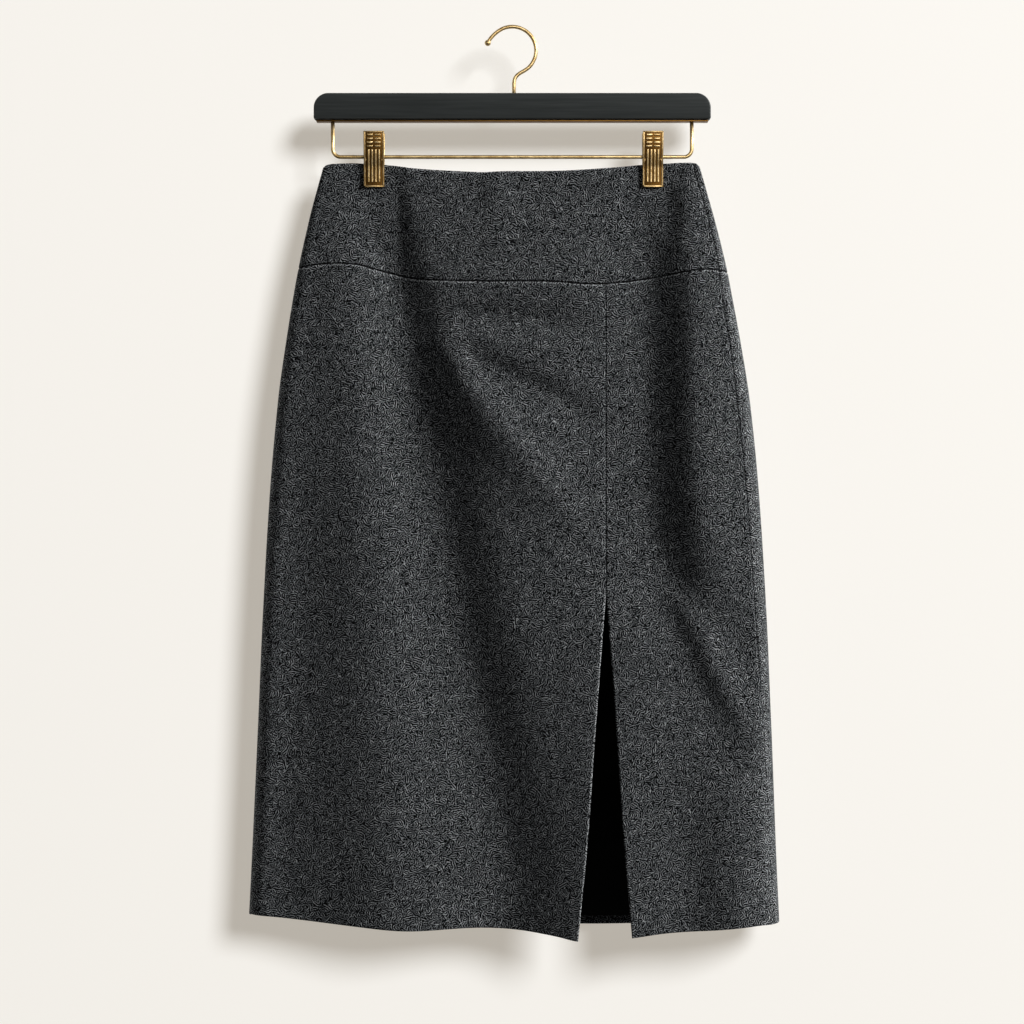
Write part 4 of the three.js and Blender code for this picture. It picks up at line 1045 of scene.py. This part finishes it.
def makeSlider(enamel):
    half, face = slider["width"] / 2, slider["lift"] + slider["plate"]
    bm = bmesh.new()
    verts = boxPart(bm, (-half, slider["lift"], -slider["below"]),
                    (half, face, slider["tall"] - slider["below"]))
    bevelEdges(bm, [e for e in edgesAlong(verts, 1) if e.verts[0].co.z > 0], slider["topCorner"], 8)
    corners = [e for e in edgesAlong(bm.verts, 1) if e.verts[0].co.z < (0.01 - slider["below"]) * mm]
    bevelEdges(bm, corners, slider["lowCorner"], 6)
    rims = [e for e in bm.edges
            if abs(e.verts[0].co.y - e.verts[1].co.y) < nearly / 10 and e.calc_face_angle(0) > 1]
    bevelEdges(bm, rims, slider["edge"], 3)
    # the bail: up one leg, along over the crossbar, and down the other
    strap = bmesh.new()
    halfBail, under, foot = bail["width"] / 2, face + bail["opening"], face - bail["sunk"]
    farLeg = bail["high"] - bail["leg"]
    boxPart(strap, (-halfBail, foot, bail["low"]), (halfBail, under, bail["low"] + bail["leg"]))
    strap.normal_update()
    pushFace(strap, [f for f in strap.faces if f.normal.y > 0.9], 1, under + bail["thick"])
    strap.normal_update()
    upper = [f for f in strap.faces if f.normal.z > 0.9 and f.calc_center_median().y > under * mm]
    for beyond in (farLeg, bail["high"]):
        upper = pushFace(strap, upper, 2, beyond)
    strap.normal_update()
    lower = [f for f in strap.faces if f.normal.y < -0.9 and f.calc_center_median().z > farLeg * mm]
    pushFace(strap, lower, 1, foot)
    bevelEdges(strap, [e for e in strap.edges if e.calc_face_angle(0) > 1], bail["edge"], 3)
    bmesh.ops.recalc_face_normals(strap, faces=strap.faces)
    joinInto(bm, strap)
    bmesh.ops.transform(bm, matrix=sliderPlace(), verts=bm.verts)
    linkPiece(smoothed(bm, sharpAbove), "enamelled_slider", enamel, ["zip_slider"])


def pullHalf(down):
    # half the pull's width, so far down; its end is round, and cut off where it is 0.2 from the middle
    roundAt = pull["length"] - pull["end"]
    if down > roundAt:
        return math.sqrt(max(pull["end"] ** 2 - (down - roundAt) ** 2, 0.2**2))
    return float(readTable(pullWidths, "down", "half", down))


def makePull(enamel):
    bm = bmesh.new()
    rows, columns = 46, 6
    crowd = 0.2  # the share of the rows that crowd towards the rounded end
    grid = bmesh.ops.create_grid(bm, x_segments=columns, y_segments=rows, size=1)["verts"]
    for vert in grid:
        column = round((vert.co.x + 1) / 2 * columns)
        share = (1 - vert.co.y) / 2
        down = pull["length"] * (share if share < 1 - crowd else 1 - (1 - share) ** 2 / crowd)
        if abs(down - pull["eyeLength"]) < 0.25:
            down = pull["eyeLength"]
        half = pullHalf(down)
        inner = pull["eyeHalf"] * min(1, half / 2)
        lines = (-half, -inner, -inner / 2, 0, inner / 2, inner, half)
        vert.co = (lines[column] * mm, -pull["thick"] / 2 * mm, -down * mm)
    eye = [f for f in bm.faces if abs(f.calc_center_median().x) < pull["eyeHalf"] * mm
           and f.calc_center_median().z > -pull["eyeLength"] * mm]
    bmesh.ops.delete(bm, geom=eye, context="FACES")
    moved = bmesh.ops.extrude_face_region(bm, geom=bm.faces[:])["geom"]
    bmesh.ops.translate(bm, verts=vertsIn(moved), vec=(0, pull["thick"] * mm, 0))
    bmesh.ops.recalc_face_normals(bm, faces=bm.faces)
    bevelEdges(bm, [e for e in bm.edges if e.calc_face_angle(0) > 1.2], pull["edge"], 2)
    crossbar = pull["crossbar"] * mm
    bmesh.ops.create_cone(bm, segments=20, radius1=crossbar, radius2=crossbar, cap_ends=True,
                          depth=pull["crossbarLong"] * mm, matrix=Matrix.Rotation(math.radians(90), 4, "Y"))
    place = (sliderPlace() @ Matrix.Translation(Vector((0, pull["pivotOut"], pull["pivotUp"])) * mm)
             @ Matrix.Rotation(math.radians(-pull["lean"]), 4, "X"))
    bmesh.ops.transform(bm, matrix=place, verts=bm.verts)
    linkPiece(smoothed(bm, sharpAbove), "enamelled_pull", enamel, ["zip_pull"],
              body="zip_tab")


# the stage: a pale wall behind, a pale floor well below, and soft studio lights

stageLook = {
    "wallY": 47, "floorZ": -1150, "wallHalf": 2500, "floorHalf": 25000,
    "wall": {"Base Color": "#BFBEBB", "Roughness": 0.9, "Specular IOR Level": 0,
             "Emission Color": "#FFF6E8", "Emission Strength": 0.455},
    "floor": {"Base Color": "#8F8D88", "Roughness": 0.8,
              "Emission Color": "#FFF6E8", "Emission Strength": 0.62},
    # the studio's own walls look pale, and give the pieces only a little light
    "seen": {"Color": "#F3F0EA", "Strength": 0.8}, "given": {"Color": "#FBF9F6", "Strength": 0.055},
}


def linear(settings):
    # the same settings, with their sRGB hex values as linear colours
    return {key: srgb(value) if isinstance(value, str) else value for key, value in settings.items()}


def stagePlane(name, half, turn, place, material):
    bm = bmesh.new()
    bmesh.ops.create_grid(bm, x_segments=1, y_segments=1, size=half * mm)
    bmesh.ops.rotate(bm, verts=bm.verts, matrix=Matrix.Rotation(math.radians(turn), 3, "X"))
    bmesh.ops.translate(bm, verts=bm.verts, vec=Vector(place) * mm)
    plane = makeObject(bm, name, material)
    return plane


def makeStage(look):
    # the wall glows a little, as a studio cove does, and lets eye and light through from behind
    plaster, tree, shader = newMaterial("painted_plaster", linear(look["wall"]))
    clear = addNode(tree, "ShaderNodeBsdfTransparent")
    behind = addNode(tree, "ShaderNodeNewGeometry").outputs["Backfacing"]
    isShadow = addNode(tree, "ShaderNodeLightPath").outputs["Is Shadow Ray"]
    seeThrough = addNode(tree, "ShaderNodeMath", {"operation": "MAXIMUM"}, {0: behind, 1: isShadow})
    mix = addNode(tree, "ShaderNodeMixShader", links={
        0: seeThrough.outputs[0], 1: shader.outputs["BSDF"], 2: clear.outputs["BSDF"]})
    tree.links.new(mix.outputs[0], tree.nodes["Material Output"].inputs["Surface"])
    wallPlace = (0, look["wallY"], look["floorZ"] + look["wallHalf"])
    wall = stagePlane("wall", look["wallHalf"], 90, wallPlace, plaster)
    paleFloor = newMaterial("pale_floor", linear(look["floor"]))[0]
    floor = stagePlane("floor", look["floorHalf"], 0, (0, 0, look["floorZ"]), paleFloor)
    floor.visible_diffuse = floor.visible_glossy = False  # or it lights the pieces from below
    return wall, floor


# the low key light rakes over the pieces alone, and a frontal one gives the wall its soft shadow;
# two weak ones lift the left side and the back, and a card near the front shines in the brass
lights = table(
    "name power size x y z colour reach",
    ("key", 1060, 2.9, 8510, -3790, 3900, "#FFFEFC", "pieces"),
    ("wallLight", 1950, 4.4, 6000, -10000, 4760, "#F8FBFF", "wall"),
    ("leftFill", 10, 2.4, -3300, -2300, 300, "#FFFEFC", "pieces"),
    ("backLight", 105, 1.5, 3500, 1800, 1500, "#FFFEFC", "pieces"),
    ("brassCard", 66, 2.0, 900, -2700, 500, "#FFF4E2", "brass"),
)


def makeLights(wall, floor):
    brassPieces = [piece for piece in bpy.data.objects if piece.name.startswith("brass")]
    for light in lights:
        data = bpy.data.lights.new(light["name"], "AREA")
        data.energy = light["power"]
        data.color = srgb(light["colour"])[:3]
        data.shape = "DISK"
        data.size = light["size"]
        lamp = bpy.data.objects.new(light["name"], data)
        lamp.location = Vector((light["x"], light["y"], light["z"])) * mm
        aim = Vector((0, 0, cameraPlace["z"] * mm)) - lamp.location
        lamp.rotation_euler = aim.to_track_quat("-Z", "Y").to_euler()
        bpy.context.collection.objects.link(lamp)
        reached = bpy.data.collections.new(light["name"] + "_reach")
        for lit in brassPieces if light["reach"] == "brass" else (wall, floor):
            reached.objects.link(lit)
        for entry in reached.collection_objects:
            entry.light_linking.link_state = "EXCLUDE" if light["reach"] == "pieces" else "INCLUDE"
        lamp.light_linking.receiver_collection = reached


def makeWorld(look):
    world = bpy.data.worlds.new("studio")
    world.use_nodes = True
    tree = world.node_tree
    tree.nodes.clear()
    given, seen = (addNode(tree, "ShaderNodeBackground", linear(look[name])) for name in ("given", "seen"))
    direct = addNode(tree, "ShaderNodeLightPath").outputs["Is Camera Ray"]
    mix = addNode(tree, "ShaderNodeMixShader", links={
        0: direct, 1: given.outputs["Background"], 2: seen.outputs["Background"]})
    addNode(tree, "ShaderNodeOutputWorld", links={"Surface": mix.outputs[0]})
    bpy.context.scene.world = world
    bpy.context.scene.view_settings.view_transform = "Standard"


tweed = tweedMaterial()
wood, brass, satin, thread, tape, enamel, steel = (surfaceMaterial(name) for name in surfaces)
print("materials ready")
cloths = makeCloth(tweed, satin)
makeStitches(thread)
print("stitches made")
makeHook(brass)
makeRod(brass)
makeBar(wood, brass)
print("hanger made")
makeClips(brass, steel)
print("clips made")
cloths["zip_tape"] = makeZipTape(tape, enamel)
makeSlider(enamel)
makePull(enamel)
print("zip made")

makeLights(*makeStage(stageLook))
makeWorld(stageLook)
print("stage ready")
